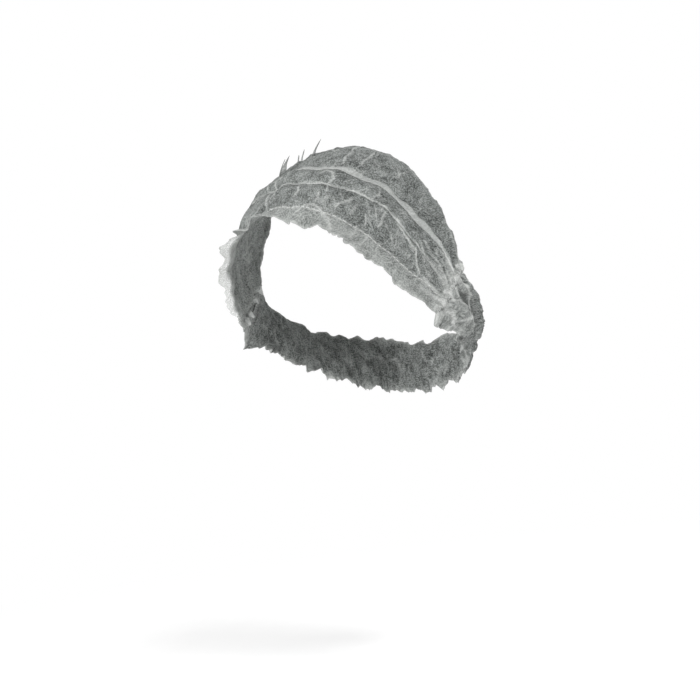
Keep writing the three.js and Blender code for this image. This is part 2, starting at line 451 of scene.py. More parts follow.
@dataclass(frozen=True)
class FibreCloth:
    """Thin spun non-woven cloth: short white fibres lying every way over darker gaps.

    A second layer under the cloth fills the gaps and makes it lighter, as at hems, and a third one, as
    in pleats, makes it nearly even. Free edges and standing folds let light through, and are whitened
    as painted light shining through them. Under one layer the colour darkens as painted shade in
    hollows, and ridges of gathers and puckers are whitened as painted highlights.
    """

    name: str
    # gap is also the dark that painted shade in hollows is mixed towards
    gap: Colour = (0.012, 0.015, 0.013, 1.0)
    fibre: Colour = (0.380, 0.400, 0.387, 1.0)
    ply_gap: Colour = (0.120, 0.129, 0.123, 1.0)
    ply_fibre: Colour = (0.472, 0.491, 0.474, 1.0)
    pleat_gap: Colour = (0.262, 0.275, 0.266, 1.0)
    pleat_fibre: Colour = (0.455, 0.472, 0.459, 1.0)
    # pressed is the white of pressed lines; painted highlights on ridges and painted light through sheer
    # cloth are mixed towards it too
    pressed: Colour = (0.800, 0.815, 0.795, 1.0)
    glow: Colour = (0.420, 0.440, 0.425, 1.0)
    through: float = 0.18
    pore: float = 0.00110
    cell: float = 0.00124
    fibre_length: float = 5.0
    ways: tuple[float, ...] = (0.15, 0.70, 1.22, 1.70, 2.24, 2.83)
    roughness: float = 0.80
    least_alpha: float = 0.06

    def web(self, shader: Shader, cloth: Value) -> Value:
        """Fibres from 0 to 1: long thin noise in six directions, of which the strongest shows.

        Args:
            shader: Material under construction.
            cloth: Place on the cloth.

        Returns:
            How much fibre shows.
        """
        found: Value | None = None
        for index, way in enumerate(self.ways):
            size = (self.fibre_length, 1.0, 1.0)
            apart = self.cell * (1.30 - 0.09 * index)
            noise = shader.noise(shader.stretched(cloth, way, size), 1.0 / apart, 0.5, 0.5)
            fibre = noise.line(0.055) * (1.0 - 0.07 * index)
            found = fibre if found is None else found.at_least(fibre)
        return found

    def wrinkles(self, shader: Shader, cloth: Value) -> Value:
        """Thin pressed lines that wander over the cloth and fade in and out.

        Args:
            shader: Material under construction.
            cloth: Place on the cloth.

        Returns:
            How strongly a line shows.
        """
        first = shader.noise(shader.stretched(cloth, 1.25, (2.2, 1.0, 1.0)), 62.0, 2.0, 0.55).line(0.020)
        second = shader.noise(shader.stretched(cloth, 2.20, (2.0, 1.0, 1.0)), 105.0, 1.0, 0.5).line(0.028)
        shown = shader.noise(cloth, 41.0, 1.0).step(0.47, 0.60)
        other = shader.noise(shader.stretched(cloth, 0.6, (1.0, 1.0, 1.0)), 47.0, 1.0).step(0.49, 0.62)
        return (first * shown).at_least(second * other * 0.8)

    def material(self) -> bpy.types.Material:
        """Builds the cloth's material.

        Returns:
            A material whose colour, bump and see-through parts come from the fibre web, from the
            number of plies with painted shade where it drops under one, from the creases with painted
            highlights on ridges, and from how free the cloth stands, which whitens it as painted light.
        """
        shader = Shader(self.name)
        cloth = shader.point_value("cloth", "Vector")
        ply_and_shade, crease, sheer = (shader.point_value(k) for k in ("ply_and_shade", "crease", "sheer"))
        web = self.web(shader, cloth)
        pores = shader.noise(cloth, 1.0 / self.pore, 0.5, 0.5).step(0.475, 0.560)
        patch = shader.noise(shader.place(), 62.0, 2.0, 0.5).step(0.3, 0.7)
        thin = shader.noise(shader.stretched(cloth, 0.9, (1.8, 1.0, 1.0)), 210.0, 1.0).step(0.30, 0.62)
        wrinkle = self.wrinkles(shader, cloth)
        cover = (pores * 0.46 + web * 0.58 + (patch - 0.5) * 0.20 + (thin - 0.6) * 0.22).held()
        single = shader.tint(cover, self.gap, self.fibre)
        double = shader.tint(cover, self.ply_gap, self.ply_fibre)
        triple = shader.tint(cover, self.pleat_gap, self.pleat_fibre)
        # Under one layer the colour is darkened towards the gap colour: painted shade in hollows
        single = shader.tint((1.0 - ply_and_shade).held(), single, self.gap)
        colour = shader.tint((ply_and_shade - 1.0).held(), single, double)
        colour = shader.tint((ply_and_shade - 2.0).held(), colour, triple)
        # crease whitens pressed lines, and also the ridges of gathers and puckers as painted highlight
        bright = (crease * (0.62 + cover * 0.38) + wrinkle * 0.24).held()
        # Sheer cloth is whitened as well: painted light shining through it
        colour = shader.tint((bright + sheer * 0.45).held(), colour, self.pressed)
        opaque = ((1.0 - sheer) + sheer * (self.least_alpha + cover * 0.24)).held()
        material = shader.finish(
            {
                "Base Color": colour,
                "Alpha": opaque,
                "Normal": shader.relief(cover * 0.5 + wrinkle * 0.5, 0.00055, 0.8),
            },
            {"Roughness": self.roughness, "Specular IOR Level": 0.22, "Sheen Weight": 0.05},
        )
        glow = shader.add("ShaderNodeBsdfTranslucent", {}, {"Color": self.glow})
        shader.mix_in(glow, self.through * opaque)
        return material


@dataclass(frozen=True)
class Thread:
    """Fine white sewing thread with a twist."""

    name: str
    colour: Colour = (0.80, 0.81, 0.79, 1.0)
    shade: Colour = (0.55, 0.56, 0.55, 1.0)
    roughness: float = 0.6

    def material(self) -> bpy.types.Material:
        """Builds the thread's material, a little darker between its strands.

        Returns:
            The material.
        """
        shader = Shader(self.name)
        strands = shader.noise(shader.place(), 2200.0, 1.0).step(0.4, 0.6)
        return shader.finish(
            {
                "Base Color": shader.tint(strands, self.shade, self.colour),
                "Normal": shader.relief(strands, 0.00008),
            },
            {"Roughness": self.roughness, "Specular IOR Level": 0.3},
        )


@dataclass(frozen=True)
class CoveredElastic:
    """Flat elastic: rubber cores under a white knitted cover with ribs along it."""

    name: str
    rib: Colour = (0.74, 0.74, 0.71, 1.0)
    # The grooves between the ribs are darker: painted shade
    groove_shade: Colour = (0.42, 0.42, 0.40, 1.0)
    roughness: float = 0.7

    def material(self) -> bpy.types.Material:
        """Builds the elastic's material.

        Returns:
            The material.
        """
        shader = Shader(self.name)
        place = shader.place()
        ribs = shader.noise(shader.stretched(place, 0.0, (6.0, 6.0, 1.0)), 1400.0, 1.0).step(0.35, 0.65)
        knit = shader.noise(place, 1800.0, 2.0)
        return shader.finish(
            {
                # Painted shade in the grooves between the ribs
                "Base Color": shader.tint(ribs, self.groove_shade, self.rib),
                "Normal": shader.relief(ribs + knit * 0.5, 0.00015),
            },
            {"Roughness": self.roughness, "Specular IOR Level": 0.3},
        )


# ------------------------------------------------------------------------------- the form underneath


class Side(Enum):
    """Side of the wearer, with the sign of X there."""

    LEFT = 1.0
    RIGHT = -1.0


@dataclass(frozen=True)
class Head:
    """Ellipsoid of the head and hair that the band is stretched over."""

    x: float = 0.083
    y: float = 0.1005
    z: float = 0.1015

    def point(self, y: Array, z: Array, sign: Array) -> Array:
        """Point at a side-view place: X is x times the root of 1 - (Y / y)² - (Z / z)²."""
        left = np.maximum(1.0 - (y / self.y) ** 2 - (z / self.z) ** 2, 0.0)
        return np.stack(np.broadcast_arrays(sign * self.x * np.sqrt(left), y, z), axis=-1)

    def normal(self, point: Array) -> Array:
        """Outward direction at a point: the gradient of the ellipsoid."""
        return unit(point / np.array([self.x, self.y, self.z]) ** 2)


@dataclass(frozen=True)
class SeamLine:
    """Side seam, straight in the side view from its low front end to its high back end."""

    low: tuple[float, float] = (-0.032, -0.0175)
    high: tuple[float, float] = (0.0035, 0.0135)
    radius: float = 0.002
    knot: float = 0.001
    gap: float = 0.0004

    @property
    def clear(self) -> float:
        """Distance from the seam's line at which its neighbours end."""
        return self.radius + self.knot + self.gap

    @property
    def tucked(self) -> float:
        """Distance from the seam's line at which cloth that is sewn into it ends."""
        return 0.1 * self.radius

    @property
    def length(self) -> float:
        """Length in the side view."""
        return math.dist(self.low, self.high)

    def place(self, share: Array, towards_panel: float) -> tuple[Array, Array]:
        """Side-view place at a share of the seam, moved square off it towards the panel.

        Args:
            share: Share of the seam's length.
            towards_panel: Metres off it.

        Returns:
            Y and Z.
        """
        step_y = (self.high[0] - self.low[0]) / self.length
        step_z = (self.high[1] - self.low[1]) / self.length
        y = mixed(self.low[0], self.high[0], share) - step_z * towards_panel
        z = mixed(self.low[1], self.high[1], share) + step_y * towards_panel
        return y, z


SKIN = 0.0006  # air between the head and the innermost cloth
FINE = 1201  # points on a line that is only measured
MIDWAY = 2.5  # line of the panel along which lengths are measured
HEAD = Head()
SEAM = SeamLine()


@dataclass(frozen=True)
class PanelLine:
    """Lengthwise line of the panel.

    top is in degrees forward of the crown, bow is the side-view point that the line bends towards on
    its way down, and share is where it meets the seam.
    """

    top: float
    bow_y: float
    bow_z: float
    share: float


@dataclass(frozen=True)
class PanelForm:
    """The smooth surface that the panel's cloth follows, ruled between five lengthwise lines.

    A place on it is (line, across): line runs from 0 at the front edge through 1 at the stitching, 2
    and 3 at the pleats to 4 at the back edge, and across from -1 at the right seam to 1 at the left.
    strips holds the widths from line to line over the middle of the head.
    """

    lines: tuple[PanelLine, ...] = (
        PanelLine(54.5, -0.082, 0.021, 0.0),
        PanelLine(49.0, -0.063, 0.026, 0.22),
        PanelLine(38.5, -0.047, 0.062, 0.34),
        PanelLine(27.0, -0.023, 0.053, 0.62),
        PanelLine(-8.0, 0.0005, 0.062, 1.0),
    )
    strips: tuple[float, ...] = (0.0095, 0.0185, 0.020, 0.062)

    def between(self, key: str, line: Array) -> Array:
        """A line's size, drawn straight from line to line and on past the first and last.

        Args:
            key: Field of PanelLine.
            line: Line coordinate.

        Returns:
            The size at each place.
        """
        sizes = np.array([getattr(entry, key) for entry in self.lines])
        first = np.clip(np.floor(line), 0, len(sizes) - 2).astype(int)
        return mixed(sizes[first], sizes[first + 1], line - first)

    def place(self, line: Array, across: Array) -> tuple[Array, Array]:
        """Points on the head and the directions off it.

        In the side view each line is the curve (1-s)² start + 2s(1-s) bow + s² end, where s is
        1 - cos(a quarter turn times across), from the middle of the head down to the seam.

        Args:
            line: Line coordinate.
            across: Place across, from -1 to 1.

        Returns:
            Points and unit vectors.
        """
        travel = 1.0 - np.cos(0.5 * math.pi * np.abs(across))
        top = np.radians(self.between("top", line))
        end_y, end_z = SEAM.place(self.between("share", line), SEAM.tucked)
        start, bow, end = (1.0 - travel) ** 2, 2.0 * travel * (1.0 - travel), travel**2
        y = start * -HEAD.y * np.sin(top) + bow * self.between("bow_y", line) + end * end_y
        z = start * HEAD.z * np.cos(top) + bow * self.between("bow_z", line) + end * end_z
        point = HEAD.point(y, z, np.sign(across))
        return point, HEAD.normal(point)

    def span(self, line: float, across: Array) -> Array:
        """Metres of surface between one line and the next, at a line halfway between two.

        Args:
            line: Middle of the strip, such as 0.5.
            across: Place across, from -1 to 1.

        Returns:
            Width at each place across.
        """
        near, _ = self.place(np.full_like(across, line - 0.4), across)
        far, _ = self.place(np.full_like(across, line + 0.4), across)
        return np.linalg.norm(far - near, axis=-1) / 0.8

    def spans(self, across: Array) -> Array:
        """The four strips' widths at each column."""
        return np.stack([self.span(k + 0.5, across) for k in range(4)])

    def flat(self, line: Any) -> Array:
        """Metres of cloth from the front edge to a line at the middle of the head, pleats laid flat."""
        return np.interp(line, np.arange(5), np.cumsum((0.0,) + self.strips))

    def depth(self, line: Array, across: Array) -> Array:
        """Metres of surface from the front edge to a line, at each column's own place across.

        Args:
            line: Line coordinate.
            across: Place across of each column.

        Returns:
            Metres.
        """
        spans = self.spans(across)
        first = np.clip(np.floor(line), 0, 3).astype(int)
        walked = np.concatenate([np.zeros_like(spans[:1]), np.cumsum(spans, axis=0)])
        column = np.broadcast_to(np.arange(len(across)), line.shape)
        return walked[first, column] + (line - first) * spans[first, column]

    def length_along(self, line: float, across: Array) -> Array:
        """Length along a line from the middle of the head, less than nought on the right.

        Args:
            line: Line to measure along.
            across: Place across, from -1 to 1.

        Returns:
            Metres.
        """
        fine = np.linspace(-1.0, 1.0, FINE)
        points, _ = self.place(np.full_like(fine, line), fine)
        steps = np.linalg.norm(np.diff(points, axis=0), axis=-1)
        walked = np.concatenate([[0.0], np.cumsum(steps)])
        return np.interp(across, fine, walked - walked[len(fine) // 2])


# ------------------------------------------------------------------------------------------ the panel


@dataclass(frozen=True)
class Bend:
    """One place in the panel's profile from front to back.

    behind is its distance behind a line, lift its height off the smooth surface, ply the number of
    cloth layers there, taken under one where it paints shade into the dip behind a pleat, and steps
    the grid rows from here to the next bend. scallop is the share of the line's scallops that it takes
    part in, and bright how much a pressed edge whitens it.
    """

    line: int
    behind: float
    lift: float
    ply_and_shade: float
    steps: int
    scallop: float = 0.0
    bright: float = 0.0


def bends_at(line: int, *rows: tuple[float, ...]) -> tuple[Bend, ...]:
    """One bend of a line for each row: behind and lift in millimetres, then the other fields in order."""
    return tuple(Bend(line, row[0] * 0.001, row[1] * 0.001, *row[2:]) for row in rows)


@dataclass(frozen=True)
class Dip:
    """Stretch of a lengthwise line, between two places across, that sags forwards by some metres."""

    line: int
    start: float
    end: float
    ramp: float
    forward: float

    def at(self, across: Array) -> Array:
        """Metres that each place sags, ramped at both ends."""
        risen = ease((across - self.start) / self.ramp + 1.0)
        return self.forward * risen * ease((self.end - across) / self.ramp + 1.0)


@dataclass(frozen=True)
class Crease:
    """Thin pressed ridge between two places, which bows sideways on its way.

    A place is (line, across) on the panel and (metres from the mouth, width share) on the sleeve;
    height, width and bow are in metres, and bright is how much the finish lightens it.
    """

    start: tuple[float, float]
    end: tuple[float, float]
    height: float
    width: float
    bright: float = 0.5
    bow: float = 0.0

    def drawn(self, over: Array, along: Array, start: Array, end: Array, turn: float) -> Array:
        """How strongly the ridge shows at each point, from 0 to 1.

        It is 1 - distance / (1.15 * width) from a wandering line between the ends, and fades at both.

        Args:
            over: First place of each point, in metres.
            along: Second place of each point, in metres.
            start: The ridge's start in the same metres.
            end: Its end.
            turn: Angle that varies the wandering from ridge to ridge.

        Returns:
            Strength at each point.
        """
        step = end - start
        reach = float(np.hypot(*step))
        ahead = ((over - start[0]) * step[0] + (along - start[1]) * step[1]) / reach
        aside = ((along - start[1]) * step[0] - (over - start[0]) * step[1]) / reach
        share = held(ahead / reach)
        arch = np.sin(math.pi * share)
        wander = 0.0005 * np.sin(7.0 * share + turn) + 0.0002 * np.sin(19.0 * share + 2.0 * turn)
        wander = min(1.0, reach / 0.016) * wander * arch**0.5 + self.bow * arch
        away = np.hypot(aside - wander, ahead - share * reach)
        sharp = held(1.0 - away / (1.15 * self.width))
        return sharp * ease(np.minimum(share, 1.0 - share) * 6.0 + 0.45)


def drawn_creases(*rows: tuple[float, ...]) -> tuple[Crease, ...]:
    """One crease for each row.

    Args:
        rows: Both places, height and width in millimetres, bright, and maybe bow in millimetres.

    Returns:
        The creases in the rows' order.
    """
    return tuple(
        Crease(row[:2], row[2:4], row[4] * 0.001, row[5] * 0.001, row[6], sum(row[7:]) * 0.001)
        for row in rows
    )


@dataclass(frozen=True)
class Crest:
    """Pinched fold of the cloth that stands up off the crown like a thin blade.

    line and across are its place, length its foot from front to back, height its height and lean how
    far its tip leans to the wearer's left; turn is how far its foot is turned from front to back, in
    radians, and blunt how much of its length its tip keeps. foot is half its foot's thickness, rooted
    its depth in the cloth and wave how far it sways.
    """

    line: float
    across: float
    length: float
    height: float
    lean: float
    turn: float = 0.55
    blunt: float = 0.15
    foot: float = 0.0007
    rooted: float = 0.0012
    wave: float = 0.0005

    def sheet(self, form: PanelForm, lift: float, rows: int = 13, columns: int = 15) -> Sheet:
        """Works out the fold.

        Over its foot, (u, v) from -1 to 1, it rises by height * (1 - |v|)^0.7, narrows towards its tip
        and leans by the square of its rise.

        Args:
            form: The panel's smooth surface.
            lift: Height of the foot off it.
            rows: Points along the foot.
            columns: Points over the fold.

        Returns:
            The fold.
        """
        u = np.linspace(-1.0, 1.0, rows)[:, None]
        v = np.linspace(-1.0, 1.0, columns)[None, :]
        point, normal = form.place(np.array([self.line]), np.array([self.across]))
        point, normal = point[0], normal[0]
        left = unit(np.cross([0.0, 1.0, 0.0], normal))
        back = np.cross(normal, left)
        way = math.cos(self.turn) * back - math.sin(self.turn) * left
        beside = np.cross(way, normal)
        rise = (1.0 - np.abs(v)) ** 0.7 + 0.0 * u
        cut = 1.0 - 0.35 * np.abs(u + 0.15) ** 1.6 * rise
        narrow = 1.0 - (1.0 - self.blunt) * rise**1.2
        sway = self.wave * np.sin(3.0 * u + 9.0 * self.across) * rise
        step = u * narrow * self.length / 2.0
        side = v * self.foot * (1.0 - 0.6 * rise) + sway
        up = self.height * rise * cut + lift - self.rooted
        bend = self.lean * (rise * cut) ** 1.6
        moves = ((way, step), (beside, side), (normal, up), (left, bend))
        place = point + sum(direction * size[..., None] for direction, size in moves)
        edge = held(np.abs(u) ** 6 + rise**8)
        values = {
            "ply_and_shade": 1.0 + 0.4 * rise,
            "crease": 0.10 + 0.0 * rise,
            "sheer": held(ease(rise * 2.5) * (0.92 - 0.55 * edge)),
            "cloth": np.stack([step, self.height * rise + self.line], axis=-1),
        }
        return Sheet(place, grid_faces(rows, columns), values)


@dataclass(frozen=True)
class Ruffle:
    """Free front edge, which stands off the head like a small visor and runs in uneven waves."""

    visor: float = 0.0024
    temple_visor: float = 0.0062
    far_visor: float = 0.0096
    temple_shape: float = 0.75
    ripple: Rumple = Rumple(0.0210, 11, waves=9, height=0.0016)
    flutter: Rumple = Rumple(0.0085, 12, waves=9, height=0.0008)
    drift: Rumple = Rumple(0.030, 13, waves=8, height=1.3)
    unevenness: Rumple = Rumple(0.040, 14, waves=8, height=0.35)
    broad: Rumple = Rumple(0.045, 15, waves=8, height=0.0010)
    scallop: float = 0.0013
    scallop_length: float = 0.0085
    droop: float = 0.0050
    droop_from: float = 0.55
    brow: float = 0.0066
    brow_middle: float = 0.19
    brow_half: float = 0.27
    frill_middle: float = 0.47
    frill_half: float = 0.13
    frill: float = 0.0016
    frill_length: float = 0.0105
    zigzag: float = 0.0019
    wisps: tuple[tuple[float, float, float], ...] = (
        (-0.345, 0.030, 0.0085),
        (-0.410, 0.024, 0.0030),
        (-0.480, 0.028, 0.0040),
        (-0.600, 0.026, 0.0030),
    )

    def wisp(self, across: Array) -> Array:
        """How far the right side's edge stands out in thin points, each (across, half width, length)."""
        return sum(length * hump((across - middle) / half) ** 1.5 for middle, half, length in self.wisps)

    def free(self, line: Array, across: Array) -> Array:
        """How free the cloth is: 1 at the edge, 0 at the stitching and at the seams."""
        return np.clip(1.0 - line, 0.0, 1.2) * (1.0 - np.abs(across) ** 8)

    def frilled(self, across: Array) -> Array:
        """Where the edge is frilled most: a hump on each side, stronger on the left."""
        left = hump((across - self.frill_middle) / self.frill_half)
        return left + 0.5 * hump((across + self.frill_middle) / self.frill_half)

    def lift(self, free: Array, across: Array, along: Array) -> Array:
        """Height off the head: the visor's height and a ripple, both times how free the cloth is.

        Args:
            free: How free the cloth is.
            across: Place across, from -1 to 1.
            along: Length from the middle of the head.

        Returns:
            Metres off the smooth surface.
        """
        temple = np.sin(math.pi * np.abs(across) ** self.temple_shape) ** 2
        visor = mixed(self.visor, np.where(across < 0.0, self.far_visor, self.temple_visor), temple)
        curl = np.sin(2.0 * math.pi * along / self.frill_length) * self.frilled(across)
        waved = self.flutter.on_line(along) + self.frill * curl + self.wisp(across)
        return free * (visor + self.ripple.on_line(along)) + free**2 * waved

    def reach(self, free: Array, across: Array, along: Array) -> Array:
        """How far the edge reaches forward: rounded scallops that meet in points, of uneven size.

        Args:
            free: How free the cloth is.
            across: Place across, from -1 to 1.
            along: Length from the middle of the head.

        Returns:
            Metres forwards.
        """
        size = self.scallop * (0.75 + self.unevenness.on_line(along))
        arch = np.abs(np.sin(math.pi * along / self.scallop_length + self.drift.on_line(along)))
        zigzag = np.abs(np.sin(2.0 * math.pi * along / self.frill_length + 0.8)) * self.frilled(across)
        calm = 1.0 - 0.65 * hump((across - 0.10) / 0.28)
        waved = calm * (size * (arch - 0.5) + self.broad.on_line(along) + self.zigzag * zigzag)
        return free**2 * (waved + 0.3 * self.wisp(across))

    def fall(self, free: Array, across: Array) -> Array:
        """How far the edge hangs lower beside the seams and over the brow.

        Args:
            free: How free the cloth is.
            across: Place across, from -1 to 1.

        Returns:
            Metres downwards.
        """
        beside = np.maximum(np.abs(across) - self.droop_from, 0.0) / (1.0 - self.droop_from)
        brow = self.brow * hump((across - self.brow_middle) / self.brow_half)
        return free * (self.droop * np.sin(math.pi * beside) ** 2 + brow)


@dataclass(frozen=True)
class Gathers:
    """Folds that run out of a side seam into the panel and die away over their reach."""

    size: float
    fold: float
    reach: float
    seed: int

    def lift(self, lane: Array, from_seam: Array, along: Array) -> Array:
        """Sharp folds in the seam's own lanes, times exp(-(distance from the seam / reach))."""
        folds = Rumple(self.fold, self.seed, stretch=14.0, waves=18).ridges(along, lane * SEAM.length)
        return self.size * folds * np.exp(-from_seam / self.reach)


@dataclass
class Panel:
    """Broad cloth over the crown, with its double front hem, two pleats and a turned back hem."""

    thickness: float = 0.00024
    columns: int = 368
    base: float = 0.0010
    sunk: float = 0.0034
    crest_lift: float = 0.0022
    dips: tuple[Dip, ...] = (
        Dip(0, -0.03, 0.24, 0.12, 0.0026),
        Dip(1, 0.03, 0.76, 0.16, 0.0033),
        Dip(2, 0.76, 0.82, 0.12, 0.0050),
        Dip(3, 0.08, 0.76, 0.16, 0.0042),
        Dip(3, 0.60, 0.74, 0.14, 0.0022),
    )
    bends: tuple[Bend, ...] = (
        # inner layer of the front hem
        *bends_at(1, (2.0, -0.3, 2.0, 2), (-0.4, -0.3, 2.0, 4)),
        *bends_at(0, (1.2, -0.2, 2.0, 1, 1.0), (0.0, -0.1, 2.0, 1, 1.0)),
        # folded front edge
        *bends_at(
            0, (-0.3, 0.2, 2.3, 1, 1.0, 0.55), (0.0, 0.5, 2.3, 1, 1.0, 0.55),
            (1.2, 0.6, 1.9, 9, 1.0, 0.10),
        ),
        # stitching
        *bends_at(
            1, (-1.4, 0.6, 1.8, 2, 0.0, 0.05), (-0.3, 0.1, 2.0, 1, 0.0, 0.26),
            (0.3, 0.1, 2.0, 2, 0.0, 0.26), (1.3, 0.5, 1.1, 2), (3.0, 0.2, 1.0, 15),
        ),
        # front pleat: a narrow fold that leans forward; the layer count under one behind it is painted shade
        # in the dip
        *bends_at(
            2, (-2.0, 0.0, 1.0, 1), (-0.8, 0.2, 1.6, 1, 0.7), (-0.2, 0.4, 2.2, 1, 0.7), (0.4, 0.3, 2.0, 1),
            (0.9, 0.3, 2.0, 1), (0.4, 0.5, 2.0, 1, 0.5), (-0.3, 0.6, 2.6, 1, 0.7, 0.40),
            (-0.5, 0.8, 2.8, 1, 0.7, 0.80), (-0.2, 1.0, 2.8, 1, 0.7, 0.70), (0.5, 0.9, 2.0, 1, 0.6, 0.10),
            (1.1, 0.6, 1.1, 1), (2.2, 0.3, 0.8, 1), (5.0, 0.1, 1.0, 15),
        ),
        # middle pleat: a broad flat fold, three layers deep; the layer count under one behind it is painted
        # shade in the dip
        *bends_at(
            3, (-2.4, 0.0, 1.0, 1), (-1.0, 0.2, 1.4, 1, 1.0), (-0.2, 0.4, 2.2, 1, 1.0),
            (0.8, 0.3, 2.0, 2, 0.5), (3.6, 0.1, 2.0, 1), (3.8, 0.2, 2.0, 1), (3.4, 0.4, 2.0, 2),
            (0.6, 0.5, 2.4, 1, 0.7), (-0.2, 0.6, 3.0, 1, 1.0, 0.35), (-0.5, 0.8, 3.0, 1, 1.0, 0.45),
            (-0.1, 1.1, 3.0, 1, 1.0, 0.45), (0.8, 1.2, 3.0, 2, 0.8, 0.30), (2.4, 1.1, 3.0, 2, 0.0, 0.22),
            (3.6, 0.8, 2.8, 1, 0.0, 0.18), (4.2, 0.5, 1.4, 1), (5.6, 0.2, 0.8, 1), (9.0, 0.1, 1.0, 30),
        ),
        # narrow back hem, turned under
        *bends_at(
            4, (-5.2, 0.0, 1.0, 1), (-3.8, 0.1, 1.1, 1), (-3.1, 0.5, 1.8, 1, 0.0, 0.15),
            (-1.5, 0.5, 1.9, 1), (-0.3, 0.4, 2.2, 1, 0.0, 0.35), (0.0, 0.2, 2.2, 1, 0.0, 0.35),
            (-0.3, 0.0, 2.0, 1), (-3.1, 0.0, 2.0, 0),
        ),
    )
    creases: tuple[Crease, ...] = drawn_creases(
        # pressed folds that run from front to back over the crown
        (2.30, 0.150, 3.04, 0.165, 0.5, 0.9, 0.80), (2.73, 0.158, 2.15, 0.285, 0.5, 1.0, 0.80),
        (3.08, 0.205, 3.36, 0.190, 0.6, 0.9, 0.85), (3.34, 0.192, 3.88, 0.115, 0.5, 0.9, 0.75),
        (3.11, 0.302, 3.56, 0.282, 0.5, 0.9, 0.80), (3.52, 0.284, 3.90, 0.250, 0.5, 1.0, 0.45),
        (2.14, 0.258, 1.62, 0.252, 0.5, 1.0, 0.70), (3.08, -0.223, 2.43, -0.198, 0.5, 1.0, 0.70),
        (2.45, -0.198, 1.15, -0.168, 0.5, 1.0, 0.75, 0.8),
        (2.05, -0.125, 1.20, -0.150, 0.4, 0.9, 0.45), (1.75, 0.420, 1.15, 0.310, 0.4, 1.0, 0.60),
        (1.60, 0.445, 1.12, 0.400, 0.4, 0.9, 0.50), (1.90, 0.610, 1.22, 0.560, 0.4, 1.0, 0.60),
        (1.55, 0.600, 1.15, 0.655, 0.4, 0.9, 0.55), (2.75, 0.460, 2.15, 0.540, 0.4, 0.9, 0.50),
        (1.15, -0.30, 2.0, -0.28, 0.5, 1.0, 0.60), (2.1, -0.27, 2.9, -0.235, 0.5, 1.1, 0.65),
        (2.2, -0.10, 2.8, -0.06, 0.4, 0.9, 0.35), (1.2, 0.045, 1.85, 0.06, 0.4, 1.1, 0.60),
        (1.15, 0.19, 1.6, 0.205, 0.4, 1.1, 0.60), (1.3, -0.12, 1.9, -0.14, 0.4, 0.9, 0.35),
        (3.2, 0.47, 3.9, 0.50, 0.4, 1.0, 0.32), (3.15, 0.66, 3.7, 0.60, 0.4, 1.0, 0.28),
        (1.2, 0.52, 1.9, 0.50, 0.4, 0.9, 0.34), (1.2, 0.40, 1.7, 0.34, 0.4, 0.9, 0.34),
        (1.2, 0.66, 1.8, 0.70, 0.4, 0.9, 0.36, 10.0), (1.74, 0.685, 1.48, 0.669, 0.4, 0.9, 0.60),
        (1.48, 0.669, 1.02, 0.666, 0.4, 0.9, 0.55), (1.42, 0.494, 1.05, 0.496, 0.4, 0.9, 0.50),
        (1.88, 0.551, 1.32, 0.552, 0.4, 0.9, 0.55), (1.78, 0.573, 2.04, 0.604, 0.4, 0.9, 0.60),
        (2.33, 0.656, 2.50, 0.665, 0.4, 0.9, 0.70), (2.48, 0.680, 2.83, 0.664, 0.4, 0.9, 0.65),
        (1.51, 0.746, 1.52, 0.778, 0.4, 0.9, 0.50), (1.15, 0.745, 1.32, 0.760, 0.4, 0.9, 0.50),
        (2.00, 0.660, 1.66, 0.760, 0.4, 1.6, 0.80), (1.66, 0.750, 1.60, 0.792, 0.4, 1.5, 0.85),
        (1.62, 0.790, 1.25, 0.797, 0.6, 1.4, 0.90, 0.6), (1.27, 0.796, 1.03, 0.832, 0.6, 1.3, 0.90),
        (1.95, 0.754, 1.86, 0.828, 0.5, 1.0, 0.65), (1.87, 0.826, 1.58, 0.842, 0.5, 1.0, 0.60),
        (2.2, 0.33, 2.75, 0.38, 0.4, 0.9, 0.36), (3.2, -0.55, 3.9, -0.52, 0.5, 1.1, 0.45),
        (2.2, -0.62, 2.8, -0.60, 0.4, 1.0, 0.40), (1.2, -0.55, 1.9, -0.60, 0.4, 1.0, 0.40),
        (3.1, -0.78, 3.6, -0.70, 0.5, 1.1, 0.40),
        # soft wrinkles that the side seam pulls out of the front pleat
        (1.02, 0.850, 1.04, 0.915, 0.5, 2.2, 0.65), (1.04, 0.905, 1.15, 0.980, 0.6, 2.4, 0.75),
        (1.88, 0.850, 1.95, 0.915, 0.7, 2.0, 0.55), (1.95, 0.905, 2.12, 0.975, 0.8, 2.2, 0.60),
        (2.0, 0.84, 2.12, 0.975, 1.2, 1.3, 0.60), (2.22, 0.80, 2.40, 0.99, 1.1, 1.3, 0.55),
        (2.55, 0.84, 2.62, 0.99, 0.8, 1.1, 0.45), (2.0, -0.72, 1.7, -0.86, 1.0, 1.2, 0.65, -20.0),
        (2.1, -0.80, 2.3, -0.97, 1.1, 1.3, 0.50), (2.5, -0.82, 2.6, -0.98, 0.9, 1.2, 0.45),
        # ruffle folded over itself
        (0.10, 0.085, 0.86, 0.142, 0.9, 1.0, 0.60), (0.84, 0.140, 0.98, 0.190, 0.8, 1.0, 0.70),
        (0.98, 0.185, 0.62, 0.278, 0.9, 1.0, 0.75), (0.66, 0.270, 0.06, 0.392, 0.9, 1.0, 0.75),
        (0.1, 0.50, 0.9, 0.46, 0.9, 1.1, 0.55), (0.1, 0.56, 0.9, 0.53, 0.9, 1.1, 0.50),
        (0.1, 0.64, 0.9, 0.60, 0.8, 1.1, 0.45), (0.1, 0.74, 0.9, 0.72, 0.7, 1.1, 0.40),
        (0.1, 0.84, 0.9, 0.83, 0.7, 1.1, 0.40), (0.1, -0.05, 0.9, -0.02, 0.6, 1.1, 0.40),
        (0.1, -0.20, 0.9, -0.17, 0.7, 1.1, 0.45), (0.1, -0.48, 0.9, -0.45, 0.8, 1.1, 0.45),
        (0.1, -0.66, 0.9, -0.62, 0.8, 1.1, 0.45),
    )
